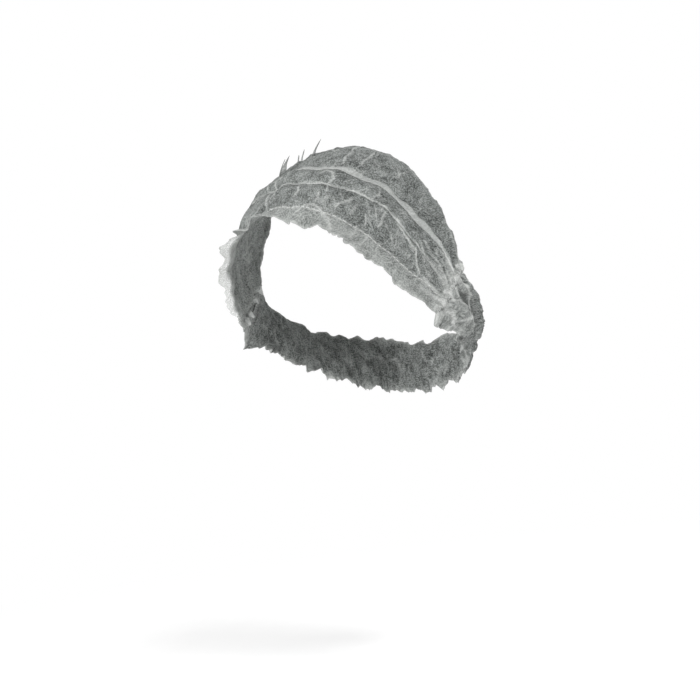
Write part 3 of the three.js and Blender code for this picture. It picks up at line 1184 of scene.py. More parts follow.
    crests: tuple[Crest, ...] = (
        Crest(3.20, -0.258, 0.0075, 0.0085, 0.0150, -0.80, 0.50),
        Crest(3.16, -0.268, 0.0036, 0.0080, 0.0130, 0.55, 0.20),
        Crest(3.36, -0.180, 0.0034, 0.0070, 0.0050, 0.55, 0.12),
        Crest(3.39, -0.164, 0.0036, 0.0088, 0.0080, 0.55, 0.12),
        Crest(3.46, -0.100, 0.0064, 0.0115, 0.0125, 0.20, 0.10),
        Crest(3.64, -0.050, 0.0100, 0.0020, 0.0040, -1.0, 0.60),
    )
    puffs: tuple[float, ...] = (0.0, 0.0026, 0.0026, 0.0030)
    waves: tuple[Rumple, ...] = (Rumple(0.034, 1, height=0.0006), Rumple(0.013, 2, 1.6, height=0.0003))
    ridges: tuple[Rumple, ...] = (
        Rumple(0.019, 3, 1.3, height=0.00034),
        Rumple(0.009, 4, 1.5, height=0.00026),
    )
    pressing: Rumple = Rumple(0.020, 17, height=0.6)
    seam_ease: float = 0.0034
    form: PanelForm = PanelForm()
    ruffle: Ruffle = Ruffle()
    gathers: tuple[Gathers, ...] = (
        Gathers(0.0010, 0.0060, 0.016, 21),
        Gathers(0.0012, 0.0110, 0.032, 22),
        Gathers(0.0010, 0.0200, 0.055, 23),
    )

    def columns_across(self) -> Array:
        """Places of the grid's columns across the head, closer together beside the seams.

        Returns:
            Places from -1 to 1.
        """
        fine = np.linspace(-1.0, 1.0, 4001)
        along = self.form.length_along(MIDWAY, fine)
        dense = 1.0 + 0.6 * np.abs(fine) ** 4
        walked = np.concatenate([[0.0], np.cumsum(0.5 * (dense[1:] + dense[:-1]) * np.diff(along))])
        return np.interp(np.linspace(0.0, walked[-1], self.columns), walked, fine)

    def scallops(self, line: int, along: Array) -> Array:
        """How far a folded edge waves forwards: uneven soft scallops, in metres.

        Args:
            line: Number of the line.
            along: Length from the middle of the head.

        Returns:
            Metres forwards.
        """
        if line == 0:
            return along * 0.0
        drift = Rumple(0.035, 40 + line, waves=8).on_line(along)
        size = 0.6 + Rumple(0.030, 50 + line, waves=8, height=0.5).on_line(along)
        length = 0.0095 if line == 3 else 0.0130
        return 0.0007 * size * np.abs(np.sin(math.pi * along / length + drift)) + 0.0004 * drift

    def dipped(self, line: int, across: Array) -> Array:
        """How far a lengthwise line sags forwards, in metres."""
        return sum((dip.at(across) for dip in self.dips if dip.line == line), across * 0.0)

    def even(self, line: Array, across: Array) -> Array:
        """Line coordinate as it would be without sags: a whole number at each lengthwise line.

        Args:
            line: Line coordinate.
            across: Place across, from -1 to 1.

        Returns:
            The line coordinate without sags.
        """
        found = line
        for k in range(4):
            sag = self.dipped(k, across) / self.form.span(max(k - 1, 0) + 0.5, across)
            found = found + sag * np.maximum(0.0, 1.0 - np.abs(line + sag - k))
        return found

    def profile(self, across: Array, along: Array) -> tuple[Array, Array, Array, Array]:
        """Grid rows from front to back.

        Args:
            across: Places of the columns.
            along: Their lengths from the middle of the head.

        Returns:
            The line, lift, ply and brightness of each row at each column, drawn straight from bend to
            bend, with the lift softened over neighbouring rows.
        """
        spans = self.form.spans(across)
        lines, lifts, plies, brights = [], [], [], []
        for bend in self.bends:
            behind = bend.behind - bend.scallop * self.scallops(bend.line, along)
            behind = behind - self.dipped(bend.line, across)
            strip = np.where(behind < 0.0, max(bend.line - 1, 0), min(bend.line, 3))
            width = np.choose(strip, spans)
            lines.append(bend.line + behind / width)
            lifts.append(np.full_like(across, bend.lift))
            plies.append(np.full_like(across, bend.ply_and_shade))
            brights.append(np.full_like(across, bend.bright))
        rows: list[list[Array]] = [[], [], [], []]
        for index, bend in enumerate(self.bends):
            steps = max(bend.steps, 1)
            share = np.arange(steps)[:, None] / steps
            after = min(index + 1, len(self.bends) - 1)
            for kept, values in zip(rows, (lines, lifts, plies, brights)):
                kept.append(mixed(values[index], values[after], share))
        line, lift, ply_and_shade, bright = (np.concatenate(kept) for kept in rows)
        softened = lift.copy()
        softened[1:-1] = 0.25 * lift[:-2] + 0.5 * lift[1:-1] + 0.25 * lift[2:]
        return line, softened, ply_and_shade, bright

    def crease_relief(self, line: Array, along: Array) -> tuple[Array, Array]:
        """Height and brightness of the creases.

        Args:
            line: Line coordinate of each grid point.
            along: Length of each grid point from the middle of the head.

        Returns:
            Height off the cloth, the sum of height * drawn, and brightness, the highest of
            bright * drawn^1.3, over all creases.
        """
        height = np.zeros_like(along)
        bright = np.zeros_like(along)
        flat_line = self.form.flat(line)
        for index, crease in enumerate(self.creases):
            lines = self.form.flat([crease.start[0], crease.end[0]])
            lengths = self.form.length_along(MIDWAY, np.array([crease.start[1], crease.end[1]]))
            ends = np.stack([lines, lengths], axis=-1)
            drawn = crease.drawn(flat_line, along, ends[0], ends[1], float(index))
            height = height + crease.height * drawn
            bright = np.maximum(bright, crease.bright * drawn**1.3)
        return height, bright

    def rumpled(self, across: Array, along: Array, flat_line: Array) -> Array:
        """Height of the loose waves and pressed ridges all over the cloth, calm beside the seams.

        Args:
            across: Place across, from -1 to 1.
            along: Length from the middle of the head.
            flat_line: Width from the front edge, folds laid flat.

        Returns:
            Metres.
        """
        loose = ease((1.0 - np.abs(across)) * 6.0)
        waves = sum(wave.at(along, flat_line) for wave in self.waves)
        return loose * waves + sum(ridge.ridges(along, flat_line) for ridge in self.ridges)

    def hollow(self, line: Array, across: Array) -> Array:
        """Depth of the shallow hollow behind the pleats, right of the middle."""
        return self.sunk * hump((across + 0.14) / 0.36) * hump((line - 3.3) / 0.9)

    def gathered(self, line: Array, along: Array) -> tuple[Array, Array]:
        """Height of the folds that run out of the seams, and the distance from the nearer seam.

        Args:
            line: Line coordinate.
            along: Length from the middle of the head.

        Returns:
            Both in metres.
        """
        lane = self.form.between("share", line) + np.where(along < 0.0, 0.37, 0.0)
        from_seam = self.form.length_along(MIDWAY, np.array([1.0]))[0] - np.abs(along)
        folds = sum(g.lift(lane, from_seam, np.abs(along)) for g in self.gathers)
        return folds * (0.35 + 0.65 * ease(from_seam / 0.004)), from_seam

    def sheet(self) -> Sheet:
        """Works out the panel's grid and the values for its finish.

        The cloth stands off the smooth form by its profile's lift, the loose puffs between the lines,
        rumples, the gathers of both seams, creases and crests; the free front edge waves and flares.

        Returns:
            The panel with its crests.
        """
        across_row = self.columns_across()
        along_row = self.form.length_along(MIDWAY, across_row)
        line, lift, ply_and_shade, pressed = self.profile(across_row, along_row)
        across = np.broadcast_to(across_row, line.shape)
        along = np.broadcast_to(along_row, line.shape)
        even = self.even(line, across_row)
        free = self.ruffle.free(even, across)
        line = line - self.ruffle.reach(free, across, along) / self.form.span(0.5, across_row)

        strip = np.clip(np.floor(even), 0, 3).astype(int)
        puffs = np.array(self.puffs)[strip] * np.sin(math.pi * held(even - strip))
        flat_line = self.form.flat(line)
        lift = lift + puffs * (1.0 - across**4)
        lift = lift + self.rumpled(across, along, flat_line) - self.hollow(line, across)
        folds, from_seam = self.gathered(line, along)
        height, bright = self.crease_relief(line, along)
        lift = lift + folds + height + self.ruffle.lift(free, across, along)
        lift = mixed(SEAM.radius * 0.4, lift, ease(from_seam / self.seam_ease))

        point, normal = self.form.place(line, across)
        point = point - self.ruffle.fall(free, across)[..., None] * np.array([0.0, 0.0, 1.0])
        point = point + normal * (SKIN + self.base + lift)[..., None]

        edge_fold = ease((free - 0.93) / 0.05)
        far_edge = ease(free * 1.7 + 0.15) * ease((-across - 0.26) / 0.18) * (1.0 - 0.30 * edge_fold)
        frill = free**2 * hump((across - 0.47) / 0.22) * 0.60
        near_seam = np.exp(-from_seam / 0.030)
        uneven = 0.45 + 0.55 * ease(0.5 + self.pressing.at(along, 3.0 * flat_line))
        near_line = np.abs(flat_line - self.form.flat(3.0)) < 0.008
        uneven = np.where(near_line | (np.abs(even - 1.0) < 0.10), 1.0, uneven)
        faded = ease((across - 0.785) / 0.03) * (np.abs(even - 2.0) < 0.3)
        pressed = pressed * uneven * (0.35 + 0.65 * ease(from_seam / 0.020)) * (1.0 - 0.8 * faded)
        # The gathers' fold tops are whitened as painted highlight, and their valleys near the seam darkened
        # as painted shade
        painted_ridge_highlight = held(folds / 0.0011) ** 1.5 * np.exp(-from_seam / 0.040)
        hollow = held(-folds / 0.0012) * near_seam
        knotted = np.exp(-from_seam / 0.0045) * 0.55
        # The far free edge is whitened as painted light shining through it
        bright = np.maximum(bright, pressed) + 0.8 * painted_ridge_highlight + knotted + 0.45 * far_edge
        values = {
            # In the gathers' valleys the layer count drops as painted shade; near the seam it rises, for the
            # gathered layers and as painted light over the shade in the deep folds beside it
            "ply_and_shade": np.maximum(ply_and_shade - 0.45 * hollow, 1.0 + 1.3 * ease(1.2 - from_seam / 0.0095)),
            "crease": held(bright),
            "sheer": held(far_edge + frill),
            "cloth": np.stack([along, self.form.depth(line, across_row)], axis=-1),
        }
        cloth = Sheet(point, grid_faces(*line.shape), values)
        for crest in self.crests:
            sunk = float(self.hollow(crest.line, crest.across))
            cloth = cloth.joined(crest.sheet(self.form, SKIN + self.base + self.crest_lift - sunk))
        return cloth

    def flat_size(self) -> tuple[float, float]:
        """Width from front to back with all its folds laid out, and length from seam to seam.

        Returns:
            Both in metres.
        """
        across = np.array([0.0])
        line, lift, _, _ = self.profile(across, across * 0.0)
        spans = self.form.spans(across)[:, 0]
        walked = np.interp(line[:, 0], np.arange(5), np.concatenate([[0.0], np.cumsum(spans)]))
        width = np.hypot(np.diff(walked), np.diff(lift[:, 0])).sum()
        length = 2.0 * self.form.length_along(MIDWAY, np.array([1.0]))[0]
        return float(width), float(length)

    def build(self, cloth: bpy.types.Material) -> bpy.types.Object:
        """Makes the panel's piece.

        Args:
            cloth: Finish of the cloth.

        Returns:
            The piece.
        """
        piece = new_piece("panel_cloth", self.sheet(), cloth)
        thicken(piece, self.thickness)
        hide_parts("front_panel")
        return piece


@dataclass
class HemStitches:
    """Row of short stitches that holds the front hem, sunk into the cloth along its line."""

    panel: Panel
    pitch: float = 0.0040
    stitch: float = 0.0029
    radius: float = 0.00034
    sides: int = 6
    raised: float = 0.0004
    bulge: float = 0.00035

    def build(self, thread: bpy.types.Material) -> bpy.types.Object:
        """Makes all the stitches as one piece of short rods that dip into the cloth at both ends.

        Args:
            thread: Finish of the thread.

        Returns:
            The piece.
        """
        form = self.panel.form
        reach = form.length_along(1.0, np.array([0.985]))[0]
        count = int(2.0 * reach / self.pitch)
        middles = (np.arange(count) - (count - 1) / 2.0) * self.pitch
        fine = np.linspace(-1.0, 1.0, FINE)
        steps = np.linspace(-0.5, 0.5, 6)
        across = np.interp(middles[:, None] + steps * self.stitch, form.length_along(1.0, fine), fine)
        line = 1.0 - self.panel.dipped(1, across) / form.span(0.5, across)
        along = form.length_along(MIDWAY, across.ravel()).reshape(across.shape)
        folds, _ = self.panel.gathered(line, along)
        lift = SKIN + self.panel.base + self.raised + folds
        lift = lift + self.panel.rumpled(across, along, form.flat(line))
        lift = lift + self.bulge * (1.0 - (2.0 * steps) ** 4)
        point, normal = form.place(line, across)
        path = point + normal * lift[..., None]
        tangent = unit(np.gradient(path, axis=1))
        beside = unit(np.cross(normal, tangent))
        turn = np.linspace(0.0, 2.0 * math.pi, self.sides, endpoint=False)
        ring = self.radius * (1.0 - 0.6 * (2.0 * np.abs(steps)) ** 6)
        skin = (
            path[:, :, None]
            + beside[:, :, None] * (np.cos(turn)[:, None] * ring[None, :, None, None])
            + normal[:, :, None] * (np.sin(turn)[:, None] * ring[None, :, None, None])
        )
        one = grid_faces(len(steps), self.sides, round_columns=True)
        caps = np.array([[0, 1, 2, 3], [0, 3, 4, 5]])
        one = np.concatenate([one, caps[:, ::-1], caps + (len(steps) - 1) * self.sides])
        first_points = np.arange(count) * len(steps) * self.sides
        faces = (one[None] + first_points[:, None, None]).reshape(-1, 4)
        piece = new_piece("front_hem_stitches", Sheet(skin.reshape(-1, 3), faces, {}), thread)
        return piece


# ------------------------------------------------------------------------- the sleeve and its elastic


@dataclass(frozen=True)
class SleeveForm:
    """Middle line and directions of the sleeve, which follows an ellipse in plan and falls to the nape."""

    half_width: float = 0.080
    half_depth: float = 0.083
    centre_y: float = -0.013
    nape_z: float = -0.060
    nape_lean: float = 0.3
    turn: float = 60.0
    seam_width: float = 0.044
    nape_width: float = 0.038
    mouth_thick: float = 0.0056
    puff_thick: float = 0.0090
    puff_over: float = 0.07
    nape_thick: float = 0.0065

    def at(self, along: Array) -> dict[str, Array]:
        """Centre, width direction, outward direction and sizes at shares of the length.

        The centre is (a cos, c + b sin) of an angle in plan, and falls by the sine of its way round.
        The width runs along the seam at each end and leans outwards at the nape.

        Args:
            along: Share of the length from the left mouth.

        Returns:
            The arrays by name.
        """
        seam_y, seam_z = SEAM.place(np.array(0.5), -SEAM.tucked)
        first = math.asin((float(seam_y) - self.centre_y) / self.half_depth)
        angle = mixed(first, math.pi - first, along)
        cos, sin = np.cos(angle), np.sin(angle)
        centre = np.stack(
            [
                self.half_width * cos,
                self.centre_y + self.half_depth * sin,
                mixed(float(seam_z), self.nape_z, np.sin(math.pi * along)),
            ],
            axis=-1,
        )
        out = unit(np.stack([cos / self.half_width, sin / self.half_depth, angle * 0.0], axis=-1))
        side = np.where(cos < 0.0, -1.0, 1.0)
        low = HEAD.point(np.array(SEAM.low[0]), np.array(SEAM.low[1]), side)
        high = HEAD.point(np.array(SEAM.high[0]), np.array(SEAM.high[1]), side)
        at_seam = unit(high - low)
        at_nape = unit(out * self.nape_lean + np.array([0.0, 0.0, 1.0]))
        from_end = np.minimum(angle - first, math.pi - first - angle)
        turned = ease(from_end / math.radians(self.turn))[..., None]
        across = unit(mixed(at_seam, at_nape, turned))
        normal = unit(out - across * (out * across).sum(axis=-1, keepdims=True))
        filled = ease(np.minimum(along, 1.0 - along) / self.puff_over)
        puffed = mixed(self.puff_thick, self.nape_thick, turned[..., 0])
        return {
            "centre": centre,
            "across": across,
            "normal": normal,
            "turned": turned[..., 0],
            "thick": mixed(self.mouth_thick, puffed, filled),
            "width": mixed(self.seam_width, self.nape_width, turned[..., 0]),
        }

    def length_along(self, along: Array) -> Array:
        """Length round the sleeve from its left mouth.

        Args:
            along: Share of the length from there.

        Returns:
            Metres.
        """
        fine = np.linspace(0.0, 1.0, FINE)
        centre = self.at(fine)["centre"]
        steps = np.linalg.norm(np.diff(centre, axis=0), axis=-1)
        return np.interp(along, fine, np.concatenate([[0.0], np.cumsum(steps)]))


@dataclass(frozen=True)
class Puff:
    """Pillow of loose cloth that the sleeve makes beside a seam.

    start and end are (distance from the sleeve's mouth in metres, place across from -1 at the low
    edge to 1 at the high one); half_width is in metres too, rim is how bright its folded rim is, and
    ply is how much thicker its cloth looks.
    """

    start: tuple[float, float]
    end: tuple[float, float]
    half_width: float
    height: float
    rim: float = 0.5
    ply_and_shade: float = 0.3

    def relief(self, from_mouth: Array, w: Array, half: float) -> tuple[Array, Array]:
        """Height and brightness of the rim.

        The height is height * (1 - (distance / girth)²)^0.55 about the line from start to end, where
        the girth grows from 0.55 of half_width to all of it. The rim is a thin line at 0.92 of the girth.

        Args:
            from_mouth: Metres from the sleeve's mouth.
            w: Place across, from -1 to 1.
            half: Half the seam's width.

        Returns:
            Both at each point.
        """
        run = np.array([self.end[0] - self.start[0], (self.end[1] - self.start[1]) * half])
        reach = float(np.hypot(*run))
        over, up = from_mouth - self.start[0], (w - self.start[1]) * half
        ahead = over * run[0] / reach + up * run[1] / reach
        aside = up * run[0] / reach - over * run[1] / reach
        share = held(ahead / reach)
        girth = self.half_width * (0.55 + 0.45 * ease(share * 3.0))
        sway = 0.0006 * np.sin(11.0 * share + 40.0 * self.half_width)
        away = np.hypot(aside + sway, ahead - share * reach)
        inside = held(1.0 - (away / girth) ** 2)
        rim = np.exp(-(((away - girth * 0.92) / 0.0010) ** 2))
        return self.height * inside**0.55, self.rim * rim


@dataclass(frozen=True)
class Skin:
    """Places on the sleeve's skin, with the sleeve's line and sizes at each column.

    w runs from -1 at the low edge to 1 at the high one, h from -1 inside to 1 outside. walked is the
    length from the left mouth, from_mouth the one from the nearer mouth, and right is 1 on that half.
    """

    line: dict[str, Array]
    w: Array
    h: Array
    walked: Array
    from_mouth: Array
    right: Array

    @property
    def outside(self) -> Array:
        """1 on the outer side and 0 on the inner one."""
        return ease(self.h * 2.5)

    @property
    def clear(self) -> Array:
        """0 at both mouths, and 1 from 8 mm inwards."""
        return ease(self.from_mouth / 0.008)

    @property
    def edge(self) -> Array:
        """1 at both long edges, falling fast towards the middle."""
        return np.abs(self.w) ** 5


@dataclass
class Sleeve:
    """Gathered double cloth round the nape: puffs and hollows beside the seams, ruffles at its edges."""

    thickness: float = 0.00024
    columns: int = 340
    sides: int = 134
    form: SleeveForm = SleeveForm()
    puffs: tuple[Puff, ...] = (
        Puff((0.004, 0.70), (0.066, 0.16), 0.0070, 0.0044, 0.20, 0.15),
        Puff((0.001, 0.36), (0.011, 0.30), 0.0040, 0.0026, 0.20, 0.50),
        Puff((0.000, -0.20), (0.006, -0.14), 0.0036, 0.0030, 0.20, 0.60),
        Puff((0.008, -0.46), (0.034, -0.50), 0.0078, 0.0052, 0.30, 1.30),
        Puff((0.001, -0.84), (0.024, -0.98), 0.0036, 0.0026, 0.30, 0.40),
    )
    # Hollows sink the cloth and darken it with painted shade
    hollows: tuple[Puff, ...] = (
        Puff((0.0075, 0.15), (0.0230, -0.06), 0.0028, 0.0015),
        Puff((0.0020, 0.60), (0.0085, 0.50), 0.0010, 0.0016),
        Puff((0.0320, -0.16), (0.0480, -0.16), 0.0011, 0.0016),
        Puff((0.0120, -0.60), (0.0220, -0.78), 0.0012, 0.0010),
    )
    folds: tuple[Crease, ...] = drawn_creases(
        # first flap and the pillow behind it
        (0.0000, -0.62, 0.0105, -0.69, 0.5, 1.2, 0.95), (0.0100, -0.69, 0.0230, -0.90, 0.5, 1.2, 0.95),
        (0.0020, -0.40, 0.0075, -0.31, 0.6, 1.2, 0.95), (0.0070, -0.31, 0.0130, -0.13, 0.6, 1.2, 0.90),
        (0.0125, -0.13, 0.0290, -0.15, 0.6, 1.2, 1.00),
        (0.0280, -0.15, 0.0420, -0.60, 0.5, 1.2, 0.85, 1.0),
        (0.0180, -0.84, 0.0280, -0.22, 0.4, 1.2, 0.70),
        # rolled rim above the pocket darkened with painted shade
        (0.0000, 0.06, 0.0045, 0.09, 0.5, 1.1, 0.85),
        (0.0042, 0.09, 0.0078, -0.17, 0.5, 1.1, 0.90, 0.8),
        (0.0000, -0.28, 0.0055, -0.34, 0.4, 1.1, 0.60),
        # edge of the upper pillow
        (0.0000, 0.56, 0.0075, 0.46, 0.6, 1.2, 0.95), (0.0070, 0.46, 0.0135, 0.36, 0.6, 1.2, 0.95),
        (0.0130, 0.36, 0.0285, -0.04, 0.6, 1.2, 0.95, 0.8),
        (0.0020, 0.78, 0.0120, 0.62, 0.4, 1.2, 0.60),
    )
    pinch: float = 0.012
    flap: float = 0.0120
    drawn_in: float = 0.36
    edge_wave: float = 0.0013
    edge_curl: float = 0.0018
    gather: float = 0.0014
    strip_clear: float = 0.0008
    elastic_share: float = 0.62
    mouth_fold: float = 0.0009
    pucker: Rumple = Rumple(0.0078, 62, stretch=7.0, waves=26)
    fine_pucker: Rumple = Rumple(0.0042, 67, stretch=6.0, waves=26, height=0.30)
    slack: Rumple = Rumple(0.010, 65, height=0.0005)
    crinkle: Rumple = Rumple(0.012, 66, stretch=1.4, height=0.0004)
    mouth_lanes: Rumple = Rumple(0.0052, 68, stretch=9.0)
    rim_wave: Rumple = Rumple(0.0150, 63, waves=12)
    rim_curl: Rumple = Rumple(0.0170, 64, waves=12)
    rim_frill: Rumple = Rumple(0.0068, 69, waves=12)

    def puffed(self, from_mouth: Array, w: Array, right: Array) -> tuple[Array, Array, Array]:
        """Height, brightness and extra layers of puffs, hollows and folds, with painted shade in the
        hollows; the right side differs a little.

        Args:
            from_mouth: Metres from the sleeve's mouth.
            w: Place across, from -1 to 1.
            right: 1 on the right half, else 0.

        Returns:
            All three at each point.
        """
        half = self.form.seam_width / 2.0
        away = from_mouth - 0.0018 * right
        place = w * (1.0 - 0.07 * right) + 0.05 * right
        found = [puff.relief(away, place, half) for puff in self.puffs]
        height = np.maximum.reduce([h for h, _ in found])
        rim = np.maximum.reduce([r * (h >= height - 0.0009) for h, r in found])
        full = [
            puff.ply_and_shade * held(h / puff.height) * (h >= height)
            for puff, (h, _) in zip(self.puffs, found)
        ]
        ply_and_shade = np.maximum.reduce(full)
        depth = np.maximum.reduce([hollow.relief(away, place, half)[0] for hollow in self.hollows])
        # The hollows lower the layer count: painted shade in them
        ply_and_shade = ply_and_shade - 0.48 * held(depth / 0.0012)
        height = height * (1.0 - 0.12 * right) - depth
        for index, fold in enumerate(self.folds):
            start, end = (np.array([p[0], p[1] * half]) for p in (fold.start, fold.end))
            drawn = fold.drawn(away, place * half, start, end, float(index))
            height = height + fold.height * drawn
            rim = np.maximum(rim, fold.bright * drawn)
        return height, rim, ply_and_shade

    def skin(self) -> Skin:
        """Grid of the skin.

        Its section is (cos, root of sine) of a turn, and its columns stand closer beside the seams.

        Returns:
            The places.
        """
        even = np.linspace(-1.0, 1.0, self.columns)
        along = 0.5 + 0.5 * even * (1.28 - 0.28 * even**2)
        turn = -2.0 * math.pi * np.arange(self.sides)[:, None] / self.sides
        w = np.cos(turn) + 0.0 * along
        h = np.sign(np.sin(turn)) * np.sqrt(np.abs(np.sin(turn))) + 0.0 * along
        walked = np.broadcast_to(self.form.length_along(along), w.shape)
        whole = self.length
        right = np.where(walked > whole / 2.0, 1.0, 0.0)
        return Skin(self.form.at(along), w, h, walked, np.minimum(walked, whole - walked), right)

    @property
    def length(self) -> float:
        """Length round the sleeve from mouth to mouth."""
        return float(self.form.length_along(np.array(1.0)))

    def puckered(self, skin: Skin) -> Array:
        """Cross gathers from -1 to 1 that the elastic draws up."""
        return self.pucker.ridges(skin.w * 0.019, skin.walked)

    def lanes(self, skin: Skin) -> Array:
        """Folds from -1 to 1 that run out of both mouths."""
        return self.mouth_lanes.ridges(skin.from_mouth, skin.w * 0.022)

    def hanging(self, skin: Skin) -> Array:
        """How far the low edge hangs as a flap: from 0 at the mouth up to 1 and back to 0 at 30 mm."""
        risen = ease((skin.from_mouth + 0.001) / 0.0045)
        return risen * (1.0 - ease((skin.from_mouth - 0.004) / 0.026))

    def relief(self, skin: Skin, height: Array) -> Array:
        """Height of the puffs, the gathers over the elastic, the slack cloth and the mouths' folds.

        Args:
            skin: Places on the skin.
            height: The puffs' height.

        Returns:
            Metres.
        """
        fine = self.fine_pucker.ridges(skin.w * 0.019, skin.walked)
        share = 0.55 + 0.45 * hump(skin.w / self.elastic_share)
        over_back = 0.20 + 0.80 * skin.line["turned"]
        relief = skin.outside * height * ease(skin.from_mouth / 0.005 + 0.18)
        relief = relief + self.gather * over_back * share * (self.puckered(skin) + fine)
        relief = relief + self.slack.at(skin.walked, skin.w * 0.02) * skin.clear
        relief = relief + self.crinkle.ridges(skin.walked, skin.w * 0.02) * skin.outside
        dying = np.exp(-skin.from_mouth / 0.012) * skin.outside
        return relief + self.mouth_fold * self.lanes(skin) * dying

    def edges(self, skin: Skin) -> tuple[Array, Array]:
        """How far the long edges curl out of the sleeve's plane, and how far they wave and hang in it.

        Args:
            skin: Places on the skin.

        Returns:
            Both in metres.
        """
        rim = np.sign(skin.w) * 0.05
        pucker = self.puckered(skin)
        wave = self.rim_wave.at(skin.walked, rim) + 0.5 * pucker
        curl = self.rim_curl.at(skin.walked, rim) + 0.6 * pucker
        frill = self.rim_frill.at(skin.walked, rim)
        at_mouth = 0.15 + 0.85 * ease((skin.from_mouth - 0.034) / 0.030)
        loose = skin.edge * np.where(skin.w > 0.0, at_mouth, skin.clear)
        out_of_plane = loose * (self.edge_curl * curl + 0.0006 * frill)
        in_plane = np.sign(skin.w) * loose * (self.edge_wave * wave + 0.0005 * frill)
        return out_of_plane, in_plane - held(-skin.w) ** 4 * self.hanging(skin) * self.flap

    def stand_off(self, skin: Skin, relief: Array) -> Array:
        """Height of the skin off the head: its section, pinched at the mouths, and its relief.

        The relief is held above the elastic's outer side and above the section's own inner side.

        Args:
            skin: Places on the skin.
            relief: Height of the relief.

        Returns:
            Metres.
        """
        away, full = skin.from_mouth, skin.line["thick"]
        thick = full * (0.30 + 0.32 * ease(away / self.pinch) + 0.38 * ease((away - 0.055) / 0.030))
        narrow = 1.0 - 0.88 * skin.edge
        over_strip = skin.outside * ease((0.72 - np.abs(skin.w)) / 0.20)
        needed = 0.5 * (full - thick) - 0.5 * skin.h * thick + self.strip_clear
        relief = np.maximum(relief, mixed(-0.22 * thick, needed * ease(away / 0.005), over_strip))
        return SKIN + thick / 2.0 + skin.h * narrow * thick / 2.0 + relief * narrow + 0.0006

    def finish_values(self, skin: Skin, height: Array, rim: Array, ply_and_shade: Array) -> dict[str, Array]:
        """Point values of the finish, from the skin and its puffs' height, bright rims and extra layers,
        with painted shade in hollows and painted highlights on crests.

        Args:
            skin: Places on the skin.
            height: The puffs' height.
            rim: Brightness of their rims.
            ply_and_shade: Their extra layers, less the painted shade in the hollows.

        Returns:
            The values by name.
        """
        edge, outside, turned = skin.edge, skin.outside, skin.line["turned"]
        near = np.exp(-skin.from_mouth / 0.0045)
        low_flap = ease((-skin.w - 0.50) / 0.4) * ease(1.0 - skin.from_mouth / 0.045) * outside
        on_puff = held(height / 0.004) * outside * (1.0 - turned)
        # Painted highlight on the crests of the gathers over the elastic
        folds = held(self.puckered(skin)) * hump(skin.w / self.elastic_share) * turned
        bright = 0.35 * folds + 0.40 * near * (1.0 - 0.8 * edge) + rim * outside * (1.0 - 0.5 * turned)
        bright = bright + edge**2 * (0.5 - 0.42 * self.hanging(skin))
        # Off the puffs near the mouths the layer count is lowered: painted shade between the puffs
        hollow = outside * (1.0 - on_puff) * ease(1.0 - skin.from_mouth / 0.060) * (1.0 - edge)
        half = skin.line["width"] / 2.0
        return {
            "ply_and_shade": 1.05 + 0.55 * edge + ply_and_shade * outside * (1.0 - turned) - 0.30 * hollow,
            # The crests of the folds running out of the mouths are whitened as painted highlight
            "crease": held(bright + 0.5 * near * held(self.lanes(skin))),
            "sheer": held(0.22 * low_flap),
            "cloth": np.stack([skin.walked, skin.w * half + 0.05 * (skin.h < 0.0)], axis=-1),
        }

    def sheet(self) -> Sheet:
        """Works out the sleeve's skin: its section, with puffs, gathers and ruffled edges laid on it.

        Returns:
            The skin with its values.
        """
        skin = self.skin()
        line = skin.line
        height, rim, ply_and_shade = self.puffed(skin.from_mouth, skin.w, skin.right)
        out_of_plane, in_plane = self.edges(skin)
        off = self.stand_off(skin, self.relief(skin, height)) + out_of_plane
        risen = ease((skin.from_mouth + 0.001) / 0.016)
        drawn = self.drawn_in * risen * (1.0 - ease((skin.from_mouth - 0.060) / 0.035))
        w = skin.w - held(skin.w) ** 2 * drawn
        beside = w * line["width"] / 2.0 + in_plane
        place = line["centre"] + line["across"] * beside[..., None] + line["normal"] * off[..., None]
        faces = grid_faces(self.sides, self.columns, round_rows=True)
        return Sheet(place, faces, self.finish_values(skin, height, rim, ply_and_shade))

    def flat_size(self) -> tuple[float, float]:
        """Cut width, twice the sleeve's width and a little for its fullness, and its drawn-in length."""
        return 2.25 * self.form.seam_width, 1.12 * self.length

    def build(self, cloth: bpy.types.Material) -> bpy.types.Object:
        """Makes the sleeve's piece.

        Args:
            cloth: Finish of the cloth.

        Returns:
            The piece.
        """
        piece = new_piece("sleeve_cloth", self.sheet(), cloth)
        thicken(piece, self.thickness)
        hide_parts("back_casing")
        return piece


# ------------------------------------------------------------------------------------- the side seams


